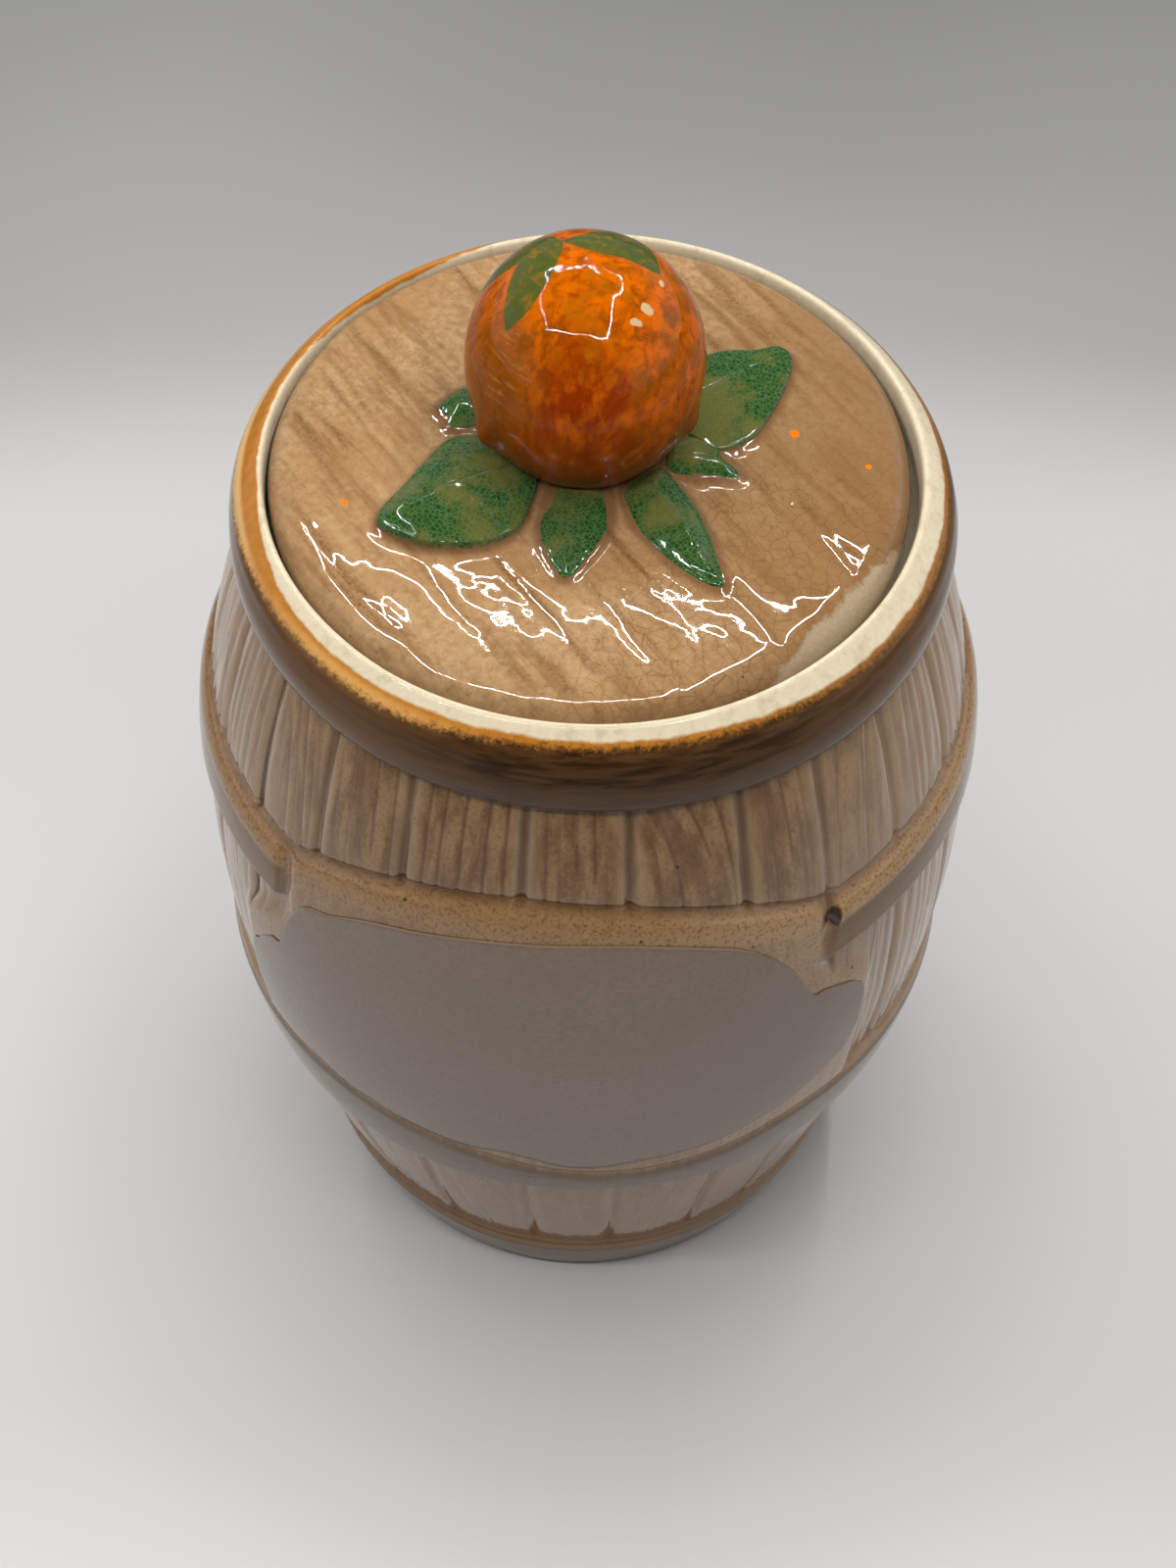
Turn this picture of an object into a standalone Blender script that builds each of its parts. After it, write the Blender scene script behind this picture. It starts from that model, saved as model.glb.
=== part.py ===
"""Barrel-shaped marmalade jar in glazed earthenware, with a recessed lid and an orange knob.

Metres, +Z up. The origin is the middle of the flat base. The label place faces -Y.
"""
import bpy
import bmesh
import math

# Barrel: the stave faces follow a cubic curve about the belly
BELLY_RADIUS = 0.04848
BELLY_HEIGHT = 0.0750
BARREL_SPAN = 0.0600
BARREL_BOW = 0.0110
BARREL_SKEW = 0.0022

# Staves: widths in degrees round the jar, starting at the first groove
FIRST_GROOVE = -50.5
STAVE_WIDTHS = (13.5, 15.0, 18.0, 15.4, 17.1, 13.5, 14.2, 15.6, 14.4, 16.2, 13.8, 15.5,
                14.9, 16.6, 13.7, 15.2, 16.0, 14.1, 15.3, 13.9, 15.8, 14.6, 13.6, 14.1)
GROOVE_WIDTH = 0.0026
GROOVE_DEPTH = 0.0006
LEAST_COLUMN_STEP = 0.7

# Foot and base hoop
FOOT_ROUND = 0.0012
BASE_HOOP_TOP = 0.0136
BASE_HOOP_RISE = 0.0014

# Lower and upper hoops
HOOP_EDGE = 0.0007
HOOP_CROWN = 0.0003
LOWER_HOOP_BOTTOM = 0.0482
LOWER_HOOP_TOP = 0.0580
LOWER_HOOP_RISE = 0.0013
UPPER_HOOP_BOTTOM = 0.0942
UPPER_HOOP_TOP = 0.1036
UPPER_HOOP_RISE = 0.0010

# Label panel: a smooth raised field between the hoops, with an arched ledge above it
PANEL_RISE = 0.0010
PANEL_HALF_LOW = 51.0
PANEL_HALF_HIGH = 40.5
PANEL_SIDE = 3.5
PANEL_ARCH = 0.0078
LEDGE_HEIGHT = 0.0042
LEDGE_LIP = 0.0004

# Label transfer
LABEL_THICKNESS = 0.00035
LABEL_CLEARANCE = 0.0003
LABEL_HALF_HIGH = 38.5
LABEL_HALF_LOW = 49.5
LABEL_SIDE_DROP = 0.0130
LABEL_WING_TOP = 0.0880
LABEL_WING_MIDDLE = 0.0765
LABEL_BOTTOM = 0.0597

# Top hoop and rim
RIM_HEIGHT = 0.1325
TOP_HOOP_HEIGHT = 0.0077
TOP_HOOP_RISE = 0.00126
TOP_HOOP_CROWN = 0.0003
RIM_SET_IN = 0.0013
RIM_WIDTH = 0.0031
RIM_ROUND = 0.0020

# Inside of the jar
WALL = 0.0045
FLOOR = 0.0060
SEAT_DEPTH = 0.0055
SEAT_WIDTH = 0.0034
SEAT_THICKNESS = 0.0026

# Lid
LID_FOOT_BEVEL = 0.0008
LID_SIDE_CLEARANCE = 0.00125
LID_SEAT_CLEARANCE = 0.0003
LID_TOP_ABOVE_RIM = 0.0008
LID_EDGE_ROUND = 0.0030
LID_SHIFT = 0.00085
LID_SHIFT_ANGLE = 168.0
PLANK_WIDTH = 0.0122
PLANK_FIRST_OFFSET = -0.0237
PLANK_COUNT = 5
PLANK_DIRECTION = -49.0
PLANK_GROOVE_WIDTH = 0.0016
PLANK_GROOVE_DEPTH = 0.0005
DRAIN_RADIUS = 0.0045
CUTTER_MARGIN = 0.0010

# Knob, a hollow orange open underneath
KNOB_RADIUS = 0.01315
KNOB_HALF_HEIGHT = 0.01445
KNOB_SINK = 0.0017
KNOB_WALL = 0.0026
KNOB_OFFSET = 0.0034
KNOB_OFFSET_ANGLE = 99.0
LUTE_GAP = 0.0003

# Leaves round the knob
LEAF_ROOT_RADIUS = 0.0098
LEAF_EDGE_THICKNESS = 0.0009
LEAF_RIB_DEPTH = 0.0003

# Large leaf at the front left: direction in degrees, then its own sizes
LARGE_LEFT_DIRECTION = -143.0
LARGE_LEFT_REACH = 0.0262
LARGE_LEFT_LEFT_HALF = 0.0078
LARGE_LEFT_RIGHT_HALF = 0.0068
LARGE_LEFT_ROOT_HEIGHT = 0.0021
LARGE_LEFT_TIP_HEIGHT = 0.0036
LARGE_LEFT_BEND = 0.0006

# Small leaf behind it
SMALL_LEFT_DIRECTION = 171.5
SMALL_LEFT_REACH = 0.0168
SMALL_LEFT_LEFT_HALF = 0.0030
SMALL_LEFT_RIGHT_HALF = 0.0038
SMALL_LEFT_ROOT_HEIGHT = 0.0016
SMALL_LEFT_TIP_HEIGHT = 0.0020
SMALL_LEFT_BEND = 0.0

# Small leaf at the front
FRONT_DIRECTION = -87.0
FRONT_REACH = 0.0208
FRONT_LEFT_HALF = 0.0033
FRONT_RIGHT_HALF = 0.0031
FRONT_ROOT_HEIGHT = 0.0014
FRONT_TIP_HEIGHT = 0.0018
FRONT_BEND = -0.0008

# Long leaf at the front right
FRONT_RIGHT_DIRECTION = -53.5
FRONT_RIGHT_REACH = 0.0262
FRONT_RIGHT_LEFT_HALF = 0.0046
FRONT_RIGHT_RIGHT_HALF = 0.0040
FRONT_RIGHT_ROOT_HEIGHT = 0.0014
FRONT_RIGHT_TIP_HEIGHT = 0.0024
FRONT_RIGHT_BEND = 0.0008

# Small leaf at the right
SMALL_RIGHT_DIRECTION = -15.5
SMALL_RIGHT_REACH = 0.0178
SMALL_RIGHT_LEFT_HALF = 0.0029
SMALL_RIGHT_RIGHT_HALF = 0.0032
SMALL_RIGHT_ROOT_HEIGHT = 0.0015
SMALL_RIGHT_TIP_HEIGHT = 0.0020
SMALL_RIGHT_BEND = 0.0004

# Large leaf at the back right, curled up at its tip
LARGE_RIGHT_DIRECTION = 32.0
LARGE_RIGHT_REACH = 0.0268
LARGE_RIGHT_LEFT_HALF = 0.0082
LARGE_RIGHT_RIGHT_HALF = 0.0068
LARGE_RIGHT_ROOT_HEIGHT = 0.0020
LARGE_RIGHT_TIP_HEIGHT = 0.0044
LARGE_RIGHT_BEND = 0.0010

LEAVES = {
    "leaf_large_left": (
        LARGE_LEFT_DIRECTION, LARGE_LEFT_REACH, LARGE_LEFT_LEFT_HALF, LARGE_LEFT_RIGHT_HALF,
        LARGE_LEFT_ROOT_HEIGHT, LARGE_LEFT_TIP_HEIGHT, LARGE_LEFT_BEND),
    "leaf_small_left": (
        SMALL_LEFT_DIRECTION, SMALL_LEFT_REACH, SMALL_LEFT_LEFT_HALF, SMALL_LEFT_RIGHT_HALF,
        SMALL_LEFT_ROOT_HEIGHT, SMALL_LEFT_TIP_HEIGHT, SMALL_LEFT_BEND),
    "leaf_front": (
        FRONT_DIRECTION, FRONT_REACH, FRONT_LEFT_HALF, FRONT_RIGHT_HALF,
        FRONT_ROOT_HEIGHT, FRONT_TIP_HEIGHT, FRONT_BEND),
    "leaf_front_right": (
        FRONT_RIGHT_DIRECTION, FRONT_RIGHT_REACH, FRONT_RIGHT_LEFT_HALF, FRONT_RIGHT_RIGHT_HALF,
        FRONT_RIGHT_ROOT_HEIGHT, FRONT_RIGHT_TIP_HEIGHT, FRONT_RIGHT_BEND),
    "leaf_small_right": (
        SMALL_RIGHT_DIRECTION, SMALL_RIGHT_REACH, SMALL_RIGHT_LEFT_HALF, SMALL_RIGHT_RIGHT_HALF,
        SMALL_RIGHT_ROOT_HEIGHT, SMALL_RIGHT_TIP_HEIGHT, SMALL_RIGHT_BEND),
    "leaf_large_right": (
        LARGE_RIGHT_DIRECTION, LARGE_RIGHT_REACH, LARGE_RIGHT_LEFT_HALF, LARGE_RIGHT_RIGHT_HALF,
        LARGE_RIGHT_ROOT_HEIGHT, LARGE_RIGHT_TIP_HEIGHT, LARGE_RIGHT_BEND),
}


def barrel_radius(height):
    """Radius of the stave faces at a height."""
    t = (height - BELLY_HEIGHT) / BARREL_SPAN
    return BELLY_RADIUS - BARREL_BOW * t ** 2 - BARREL_SKEW * t ** 3


# Sizes that follow from the named ones
TOP_HOOP_BOTTOM = RIM_HEIGHT - TOP_HOOP_HEIGHT
TOP_HOOP_RADIUS = barrel_radius(TOP_HOOP_BOTTOM) + TOP_HOOP_RISE
RIM_OUTER_RADIUS = TOP_HOOP_RADIUS - RIM_SET_IN
MOUTH_RADIUS = RIM_OUTER_RADIUS - RIM_WIDTH
SEAT_HEIGHT = RIM_HEIGHT - SEAT_DEPTH
LID_RADIUS = MOUTH_RADIUS - LID_SIDE_CLEARANCE
LID_TOP = RIM_HEIGHT + LID_TOP_ABOVE_RIM
LID_BOTTOM = SEAT_HEIGHT + LID_SEAT_CLEARANCE


def clear_scene():
    """Remove the objects of the scene."""
    for item in list(bpy.data.objects):
        bpy.data.objects.remove(item, do_unlink=True)


def material(name, colour, roughness):
    """Principled material with a plain glaze or clay colour."""
    made = bpy.data.materials.new(name)
    made.use_nodes = True
    shader = made.node_tree.nodes["Principled BSDF"]
    shader.inputs["Base Color"].default_value = (*colour, 1.0)
    shader.inputs["Roughness"].default_value = roughness
    shader.inputs["Metallic"].default_value = 0.0
    made.diffuse_color = (*colour, 1.0)
    return made


def make_object(name, mesh, look, sharp_angle=40.0):
    """Object of one mesh in the scene, smooth apart from its sharp edges."""
    mesh.shade_smooth()
    mesh.set_sharp_from_angle(angle=math.radians(sharp_angle))
    mesh.materials.append(look)
    made = bpy.data.objects.new(name, mesh)
    bpy.context.scene.collection.objects.link(made)
    return made


def skin_rings(name, rings):
    """Closed mesh through rings of points; a ring of one point is a pole."""
    mesh = bpy.data.meshes.new(name)
    form = bmesh.new()
    loops = [[form.verts.new(point) for point in ring] for ring in rings]
    for lower, upper in zip(loops, loops[1:]):
        count = max(len(lower), len(upper))
        for i in range(count):
            j = (i + 1) % count
            if len(lower) == 1:
                form.faces.new((lower[0], upper[j], upper[i]))
            elif len(upper) == 1:
                form.faces.new((lower[i], lower[j], upper[0]))
            else:
                form.faces.new((lower[i], lower[j], upper[j], upper[i]))
    bmesh.ops.recalc_face_normals(form, faces=form.faces)
    form.to_mesh(mesh)
    form.free()
    return mesh


def polar(radius, degrees, height):
    """Point at an angle measured from -Y towards +X."""
    turn = math.radians(degrees)
    return (radius * math.sin(turn), -radius * math.cos(turn), height)


def mix(first, second, share):
    """Value between two, at a share from 0 to 1."""
    return first + (second - first) * share


def ease(value):
    """Smooth step from 0 to 1."""
    value = min(max(value, 0.0), 1.0)
    return value * value * (3.0 - 2.0 * value)


def groove_angles():
    """Angles of the joints between staves, in degrees from -180 to 180."""
    angles = []
    angle = FIRST_GROOVE
    for width in STAVE_WIDTHS:
        angles.append((angle + 180.0) % 360.0 - 180.0)
        angle += width * 360.0 / sum(STAVE_WIDTHS)
    return angles


def groove_share(degrees):
    """Depth share of the nearest stave groove: 1 on its line, 0 on the stave face."""
    half = math.degrees(GROOVE_WIDTH / 2.0 / BELLY_RADIUS)
    away = min(abs((degrees - angle + 180.0) % 360.0 - 180.0) for angle in groove_angles())
    return max(0.0, 1.0 - away / half)


def panel_share(degrees, half_angle):
    """1 on the label panel, 0 beyond its side slope."""
    return 1.0 - ease((abs(degrees) - half_angle) / PANEL_SIDE)


def arch_height(degrees):
    """Upper edge of the panel's ledge, which meets the hoop's top at both ends."""
    share = min(abs(degrees) / PANEL_HALF_HIGH, 1.0)
    return UPPER_HOOP_TOP + PANEL_ARCH * (1.0 - share ** 2)


def column_angles():
    """Angles of the mesh columns: grooves, their edges, stave middles and panel edges."""
    half = math.degrees(GROOVE_WIDTH / 2.0 / BELLY_RADIUS)
    key = []
    for edge in (PANEL_HALF_LOW, PANEL_HALF_HIGH):
        key += [edge, edge + PANEL_SIDE, -edge, -edge - PANEL_SIDE]
    grooves = groove_angles()
    for angle in grooves:
        key += [angle, angle - half, angle + half]
    total = sum(STAVE_WIDTHS)
    for angle, width in zip(grooves, STAVE_WIDTHS):
        key.append(angle + width * 180.0 / total)
    angles = []
    for angle in sorted((value + 180.0) % 360.0 - 180.0 for value in key):
        if not angles or angle - angles[-1] > LEAST_COLUMN_STEP:
            angles.append(angle)
    return angles


def hoop_rows(bottom, top, rise):
    """Rows of a plain hoop as (height, rise above the staves)."""
    middle = (bottom + top) / 2.0
    return [(bottom + HOOP_EDGE, rise), (middle, rise + HOOP_CROWN), (top - HOOP_EDGE, rise)]


def outer_column(degrees):
    """Outer side of the jar at one angle, from the foot to the top hoop, as (radius, height)."""
    cut = GROOVE_DEPTH * groove_share(degrees)
    low = panel_share(degrees, PANEL_HALF_LOW)
    high = panel_share(degrees, PANEL_HALF_HIGH)
    arch = arch_height(degrees)
    rows = []

    def add(height, rise):
        rows.append((barrel_radius(height) + rise, height))

    # Foot and base hoop
    add(0.0, BASE_HOOP_RISE - FOOT_ROUND)
    add(FOOT_ROUND, BASE_HOOP_RISE)
    add(BASE_HOOP_TOP / 2.0, BASE_HOOP_RISE + HOOP_CROWN)
    add(BASE_HOOP_TOP - HOOP_EDGE, BASE_HOOP_RISE)
    # Lower staves
    for share in (0.0, 0.34, 0.67, 1.0):
        add(mix(BASE_HOOP_TOP, LOWER_HOOP_BOTTOM, share), -cut)
    # Lower hoop
    for height, rise in hoop_rows(LOWER_HOOP_BOTTOM, LOWER_HOOP_TOP, LOWER_HOOP_RISE):
        add(height, rise)
    # Middle staves, and the lower part of the panel
    for share in (0.0, 0.22, 0.44, 0.66, 0.85, 1.0):
        height = mix(LOWER_HOOP_TOP, UPPER_HOOP_BOTTOM, share)
        side = mix(low, high, ease((share - 0.80) / 0.20))
        add(height, mix(-cut, PANEL_RISE, side))
    # Upper hoop, or the upper part of the panel and its ledge
    hoop = hoop_rows(UPPER_HOOP_BOTTOM, UPPER_HOOP_TOP, UPPER_HOOP_RISE)
    label_top = arch - LEDGE_HEIGHT
    panel = [(hoop[0][0], PANEL_RISE), (label_top, PANEL_RISE), (arch - HOOP_EDGE, LEDGE_LIP)]
    for strap, field in zip(hoop, panel):
        add(mix(strap[0], field[0], high), mix(strap[1], field[1], high))
    # Upper staves
    for share in (0.0, 0.33, 0.67, 1.0):
        add(mix(arch, TOP_HOOP_BOTTOM, share), -cut)
    return rows


def rim_rows():
    """Top hoop, rim, lid seat and inner wall, as (radius, height)."""
    rows = []
    rows.append((TOP_HOOP_RADIUS - TOP_HOOP_CROWN, TOP_HOOP_BOTTOM + 0.06 * TOP_HOOP_HEIGHT))
    rows.append((TOP_HOOP_RADIUS, TOP_HOOP_BOTTOM + 0.38 * TOP_HOOP_HEIGHT))
    rows.append((TOP_HOOP_RADIUS - TOP_HOOP_CROWN, TOP_HOOP_BOTTOM + 0.68 * TOP_HOOP_HEIGHT))
    rows.append((RIM_OUTER_RADIUS, TOP_HOOP_BOTTOM + 0.90 * TOP_HOOP_HEIGHT))
    rows.append((mix(MOUTH_RADIUS, RIM_OUTER_RADIUS, 0.55), RIM_HEIGHT))
    rows.append((mix(MOUTH_RADIUS, RIM_OUTER_RADIUS, 0.12), RIM_HEIGHT - 0.3 * RIM_ROUND))
    rows.append((MOUTH_RADIUS, RIM_HEIGHT - RIM_ROUND))
    rows.append((MOUTH_RADIUS, SEAT_HEIGHT))
    seat_inner = MOUTH_RADIUS - SEAT_WIDTH
    rows.append((seat_inner, SEAT_HEIGHT))
    rows.append((seat_inner, SEAT_HEIGHT - SEAT_THICKNESS))
    below = SEAT_HEIGHT - 3.0 * SEAT_THICKNESS
    for share in (0.0, 0.2, 0.4, 0.6, 0.8, 1.0):
        height = mix(below, 2.0 * FLOOR, share)
        rows.append((barrel_radius(height) - WALL, height))
    rows.append((barrel_radius(2.0 * FLOOR) - 2.0 * WALL, FLOOR))
    return rows


def build_jar_body(look):
    """Barrel with staves, hoops, label panel, rim and lid seat, in one piece."""
    angles = column_angles()
    columns = [outer_column(angle) + rim_rows() for angle in angles]
    rings = [[(0.0, 0.0, 0.0)]]
    for row in range(len(columns[0])):
        ring = []
        for angle, column in zip(angles, columns):
            radius, height = column[row]
            ring.append(polar(radius, angle, height))
        rings.append(ring)
    rings.append([(0.0, 0.0, FLOOR)])
    return make_object("jar_body", skin_rings("jar_body", rings), look, 28.0)


def label_top_height(degrees):
    """Upper edge of the label: an arch over the middle and a lower wing at each side."""
    share = abs(degrees) / LABEL_HALF_HIGH
    if share <= 1.0:
        top = UPPER_HOOP_TOP + PANEL_ARCH - LEDGE_HEIGHT
        return top - LABEL_SIDE_DROP * share ** 2.6
    wing = (abs(degrees) - LABEL_HALF_HIGH) / (LABEL_HALF_LOW - LABEL_HALF_HIGH)
    return mix(LABEL_WING_MIDDLE, LABEL_WING_TOP, math.sqrt(max(0.0, 1.0 - wing ** 2)))


def label_bottom_height(degrees):
    """Lower edge of the label, which runs along the lower hoop and turns up at the sides."""
    share = abs(degrees) / LABEL_HALF_LOW
    return mix(LABEL_WING_MIDDLE, LABEL_BOTTOM, (1.0 - min(share, 1.0) ** 4.5) ** 0.5)


def build_label(look):
    """Thin fired-on transfer, bent to the panel."""
    side = (0.3, 0.6, 0.85, 0.97)
    angles = [LABEL_HALF_HIGH * i / 9.0 for i in range(10)]
    angles += [mix(LABEL_HALF_HIGH, LABEL_HALF_LOW, share) for share in side]
    angles = [-value for value in reversed(angles[1:])] + angles
    rows = 8
    near = PANEL_RISE + LABEL_CLEARANCE
    mesh = bpy.data.meshes.new("label_transfer")
    form = bmesh.new()
    sheets = []
    for rise in (near, near + LABEL_THICKNESS):
        sheet = []
        for angle in angles:
            low = label_bottom_height(angle)
            high = label_top_height(angle)
            line = []
            for row in range(rows + 1):
                height = mix(low, high, row / rows)
                line.append(form.verts.new(polar(barrel_radius(height) + rise, angle, height)))
            sheet.append(line)
        sheets.append(sheet)
    back, front = sheets
    last = len(angles) - 1
    for i in range(last):
        for j in range(rows):
            form.faces.new((front[i][j], front[i + 1][j], front[i + 1][j + 1], front[i][j + 1]))
            form.faces.new((back[i][j], back[i][j + 1], back[i + 1][j + 1], back[i + 1][j]))
        form.faces.new((back[i][0], back[i + 1][0], front[i + 1][0], front[i][0]))
        form.faces.new((front[i][rows], front[i + 1][rows], back[i + 1][rows], back[i][rows]))
    for j in range(rows):
        form.faces.new((back[0][j], front[0][j], front[0][j + 1], back[0][j + 1]))
        form.faces.new((front[last][j], back[last][j], back[last][j + 1], front[last][j + 1]))
    bmesh.ops.recalc_face_normals(form, faces=form.faces)
    form.to_mesh(mesh)
    form.free()
    return make_object("label_transfer", mesh, look)


def turned_rings(profile, steps):
    """Rings of a turned shape; a profile point on the axis becomes a pole."""
    rings = []
    for radius, height in profile:
        if radius == 0.0:
            rings.append([(0.0, 0.0, height)])
        else:
            rings.append([polar(radius, 360.0 * i / steps, height) for i in range(steps)])
    return rings


def knob_place():
    """Middle of the knob seen from above, relative to the lid's axis."""
    turn = math.radians(KNOB_OFFSET_ANGLE)
    return (KNOB_OFFSET * math.cos(turn), KNOB_OFFSET * math.sin(turn))


def plank_cutter(parent):
    """Bars of triangular section that cut the joints between the lid's planks."""
    mesh = bpy.data.meshes.new("plank_cutter")
    form = bmesh.new()
    turn = math.radians(PLANK_DIRECTION)
    along = (math.cos(turn), math.sin(turn))
    across = (-along[1], along[0])
    reach = 1.2 * LID_RADIUS
    over = CUTTER_MARGIN
    top = LID_TOP - LID_BOTTOM + over
    deep = LID_TOP - LID_BOTTOM - PLANK_GROOVE_DEPTH
    half = PLANK_GROOVE_WIDTH / 2.0 * (PLANK_GROOVE_DEPTH + over) / PLANK_GROOVE_DEPTH
    for i in range(PLANK_COUNT):
        offset = PLANK_FIRST_OFFSET + i * PLANK_WIDTH
        ends = []
        for end in (-reach, reach):
            corners = []
            for sideways, height in ((offset - half, top), (offset, deep), (offset + half, top)):
                x = along[0] * end + across[0] * sideways
                y = along[1] * end + across[1] * sideways
                corners.append(form.verts.new((x, y, height)))
            ends.append(corners)
        form.faces.new(ends[0])
        form.faces.new(list(reversed(ends[1])))
        for a in range(3):
            b = (a + 1) % 3
            form.faces.new((ends[0][b], ends[0][a], ends[1][a], ends[1][b]))
    bmesh.ops.recalc_face_normals(form, faces=form.faces)
    form.to_mesh(mesh)
    form.free()
    return hidden_cutter("plank_cutter", mesh, parent)


def drain_cutter(parent):
    """Round bar that bores the drain hole under the knob."""
    x, y = knob_place()
    low = -CUTTER_MARGIN
    top = LID_TOP - LID_BOTTOM + CUTTER_MARGIN
    profile = [(0.0, low), (DRAIN_RADIUS, low), (DRAIN_RADIUS, top), (0.0, top)]
    made = hidden_cutter("drain_cutter", skin_rings("drain_cutter", turned_rings(profile, 32)), parent)
    made.location = (x, y, 0.0)
    return made


def hidden_cutter(name, mesh, parent):
    """Cutter object that is left out of views and renders."""
    made = bpy.data.objects.new(name, mesh)
    bpy.context.scene.collection.objects.link(made)
    made.parent = parent
    made.hide_render = True
    made.display_type = "WIRE"
    return made


def cut_with(target, cutter):
    """Boolean difference that stays on the target."""
    cut = target.modifiers.new(cutter.name, "BOOLEAN")
    cut.operation = "DIFFERENCE"
    cut.solver = "EXACT"
    cut.object = cutter


def build_lid_plate(parent, look):
    """Round lid with a rounded edge, plank joints and a drain hole."""
    thick = LID_TOP - LID_BOTTOM
    edge = LID_EDGE_ROUND
    profile = [(0.0, 0.0), (LID_RADIUS - LID_FOOT_BEVEL, 0.0), (LID_RADIUS, LID_FOOT_BEVEL)]
    for i in range(6):
        turn = math.radians(90.0 * i / 5.0)
        radius = LID_RADIUS - edge + edge * math.cos(turn)
        profile.append((radius, thick - 0.9 * edge + 0.9 * edge * math.sin(turn)))
    profile.append((0.0, thick))
    plate = make_object("lid_plate", skin_rings("lid_plate", turned_rings(profile, 72)), look)
    plate.parent = parent
    cut_with(plate, plank_cutter(parent))
    cut_with(plate, drain_cutter(parent))
    return plate


def build_knob(parent, look):
    """Hollow orange, a little taller than wide, open where it stands on the lid."""
    bottom = LID_TOP + LUTE_GAP
    middle = LID_TOP - KNOB_SINK + KNOB_HALF_HEIGHT
    inner_radius = KNOB_RADIUS - KNOB_WALL
    inner_half = KNOB_HALF_HEIGHT - KNOB_WALL
    start = math.asin((bottom - middle) / KNOB_HALF_HEIGHT)
    outer = []
    for i in range(14):
        turn = mix(start, math.pi / 2.0, i / 13.0)
        outer.append((KNOB_RADIUS * math.cos(turn), KNOB_HALF_HEIGHT * math.sin(turn)))
    outer[-1] = (0.0, KNOB_HALF_HEIGHT)
    inner = []
    start = -math.acos(DRAIN_RADIUS / inner_radius)
    for i in range(8):
        turn = mix(start, math.pi / 2.0, i / 7.0)
        inner.append((inner_radius * math.cos(turn), inner_half * math.sin(turn)))
    inner[-1] = (0.0, inner_half)
    profile = list(reversed(inner)) + [(DRAIN_RADIUS, bottom - middle)] + outer
    knob = make_object("orange_knob", skin_rings("orange_knob", turned_rings(profile, 36)), look)
    x, y = knob_place()
    knob.parent = parent
    knob.location = (x, y, middle - LID_BOTTOM)
    return knob


def leaf_width(share):
    """Half-width share along a leaf: broad near the middle, pointed at the tip."""
    return 1.22 * (1.0 - share ** 2.4) * (0.62 + 0.75 * share)


def leaf_shape(reach, left, right, root_height, tip_height, bend):
    """Two sheets of points of one leaf, lying along +X, flat below and crowned above."""
    steps, sides = 9, 6
    top, bottom = [], []
    for i in range(steps + 1):
        share = i / steps
        width = leaf_width(min(share, 0.985))
        upper, lower = [], []
        for j in range(sides + 1):
            across = 2.0 * j / sides - 1.0
            y = width * (left if across > 0.0 else right) * across
            y_root = leaf_width(0.0) * (left if across > 0.0 else right) * across
            root = math.sqrt(LEAF_ROOT_RADIUS ** 2 - y_root ** 2)
            x = mix(root, reach, share)
            y += bend * share ** 2
            height = mix(root_height, tip_height, share ** 1.4)
            crown = LEAF_EDGE_THICKNESS + (height - LEAF_EDGE_THICKNESS) * (1.0 - 0.45 * across ** 2)
            if j == sides // 2:
                crown -= LEAF_RIB_DEPTH
            upper.append((x, y, crown))
            lower.append((x, y, 0.0))
        top.append(upper)
        bottom.append(lower)
    return top, bottom


def build_leaf(name, parent, look):
    """One relief leaf, set on the lid beside the knob."""
    direction, reach, left, right, root_height, tip_height, bend = LEAVES[name]
    top, bottom = leaf_shape(reach, left, right, root_height, tip_height, bend)
    mesh = bpy.data.meshes.new(name)
    form = bmesh.new()
    over = [[form.verts.new(point) for point in line] for line in top]
    under = [[form.verts.new(point) for point in line] for line in bottom]
    steps = len(over) - 1
    sides = len(over[0]) - 1
    for i in range(steps):
        for j in range(sides):
            form.faces.new((over[i][j], over[i + 1][j], over[i + 1][j + 1], over[i][j + 1]))
            form.faces.new((under[i][j], under[i][j + 1], under[i + 1][j + 1], under[i + 1][j]))
        form.faces.new((under[i][0], under[i + 1][0], over[i + 1][0], over[i][0]))
        form.faces.new((over[i][sides], over[i + 1][sides], under[i + 1][sides], under[i][sides]))
    for j in range(sides):
        form.faces.new((under[0][j], over[0][j], over[0][j + 1], under[0][j + 1]))
        form.faces.new((over[steps][j], under[steps][j], under[steps][j + 1], over[steps][j + 1]))
    bmesh.ops.recalc_face_normals(form, faces=form.faces)
    form.to_mesh(mesh)
    form.free()
    leaf = make_object(name, mesh, look)
    x, y = knob_place()
    leaf.parent = parent
    leaf.location = (x, y, LID_TOP + LUTE_GAP - LID_BOTTOM)
    leaf.rotation_euler = (0.0, 0.0, math.radians(direction))
    return leaf


def build_lid_axis():
    """Empty on the lid's axis, at its underside."""
    axis = bpy.data.objects.new("lid_axis", None)
    bpy.context.scene.collection.objects.link(axis)
    turn = math.radians(LID_SHIFT_ANGLE)
    axis.location = (LID_SHIFT * math.cos(turn), LID_SHIFT * math.sin(turn), LID_BOTTOM)
    return axis


def main():
    """Build the jar, its label place and the lid with its knob and leaves."""
    clear_scene()
    build_jar_body(material("tan_glaze", (0.40, 0.27, 0.17), 0.25))
    build_label(material("label_ground", (0.36, 0.31, 0.30), 0.35))
    axis = build_lid_axis()
    build_lid_plate(axis, material("lid_glaze", (0.50, 0.33, 0.19), 0.22))
    build_knob(axis, material("orange_glaze", (0.75, 0.22, 0.02), 0.20))
    green = material("green_glaze", (0.07, 0.20, 0.07), 0.20)
    for name in LEAVES:
        build_leaf(name, axis, green)
    bpy.context.view_layer.update()


main()
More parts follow.
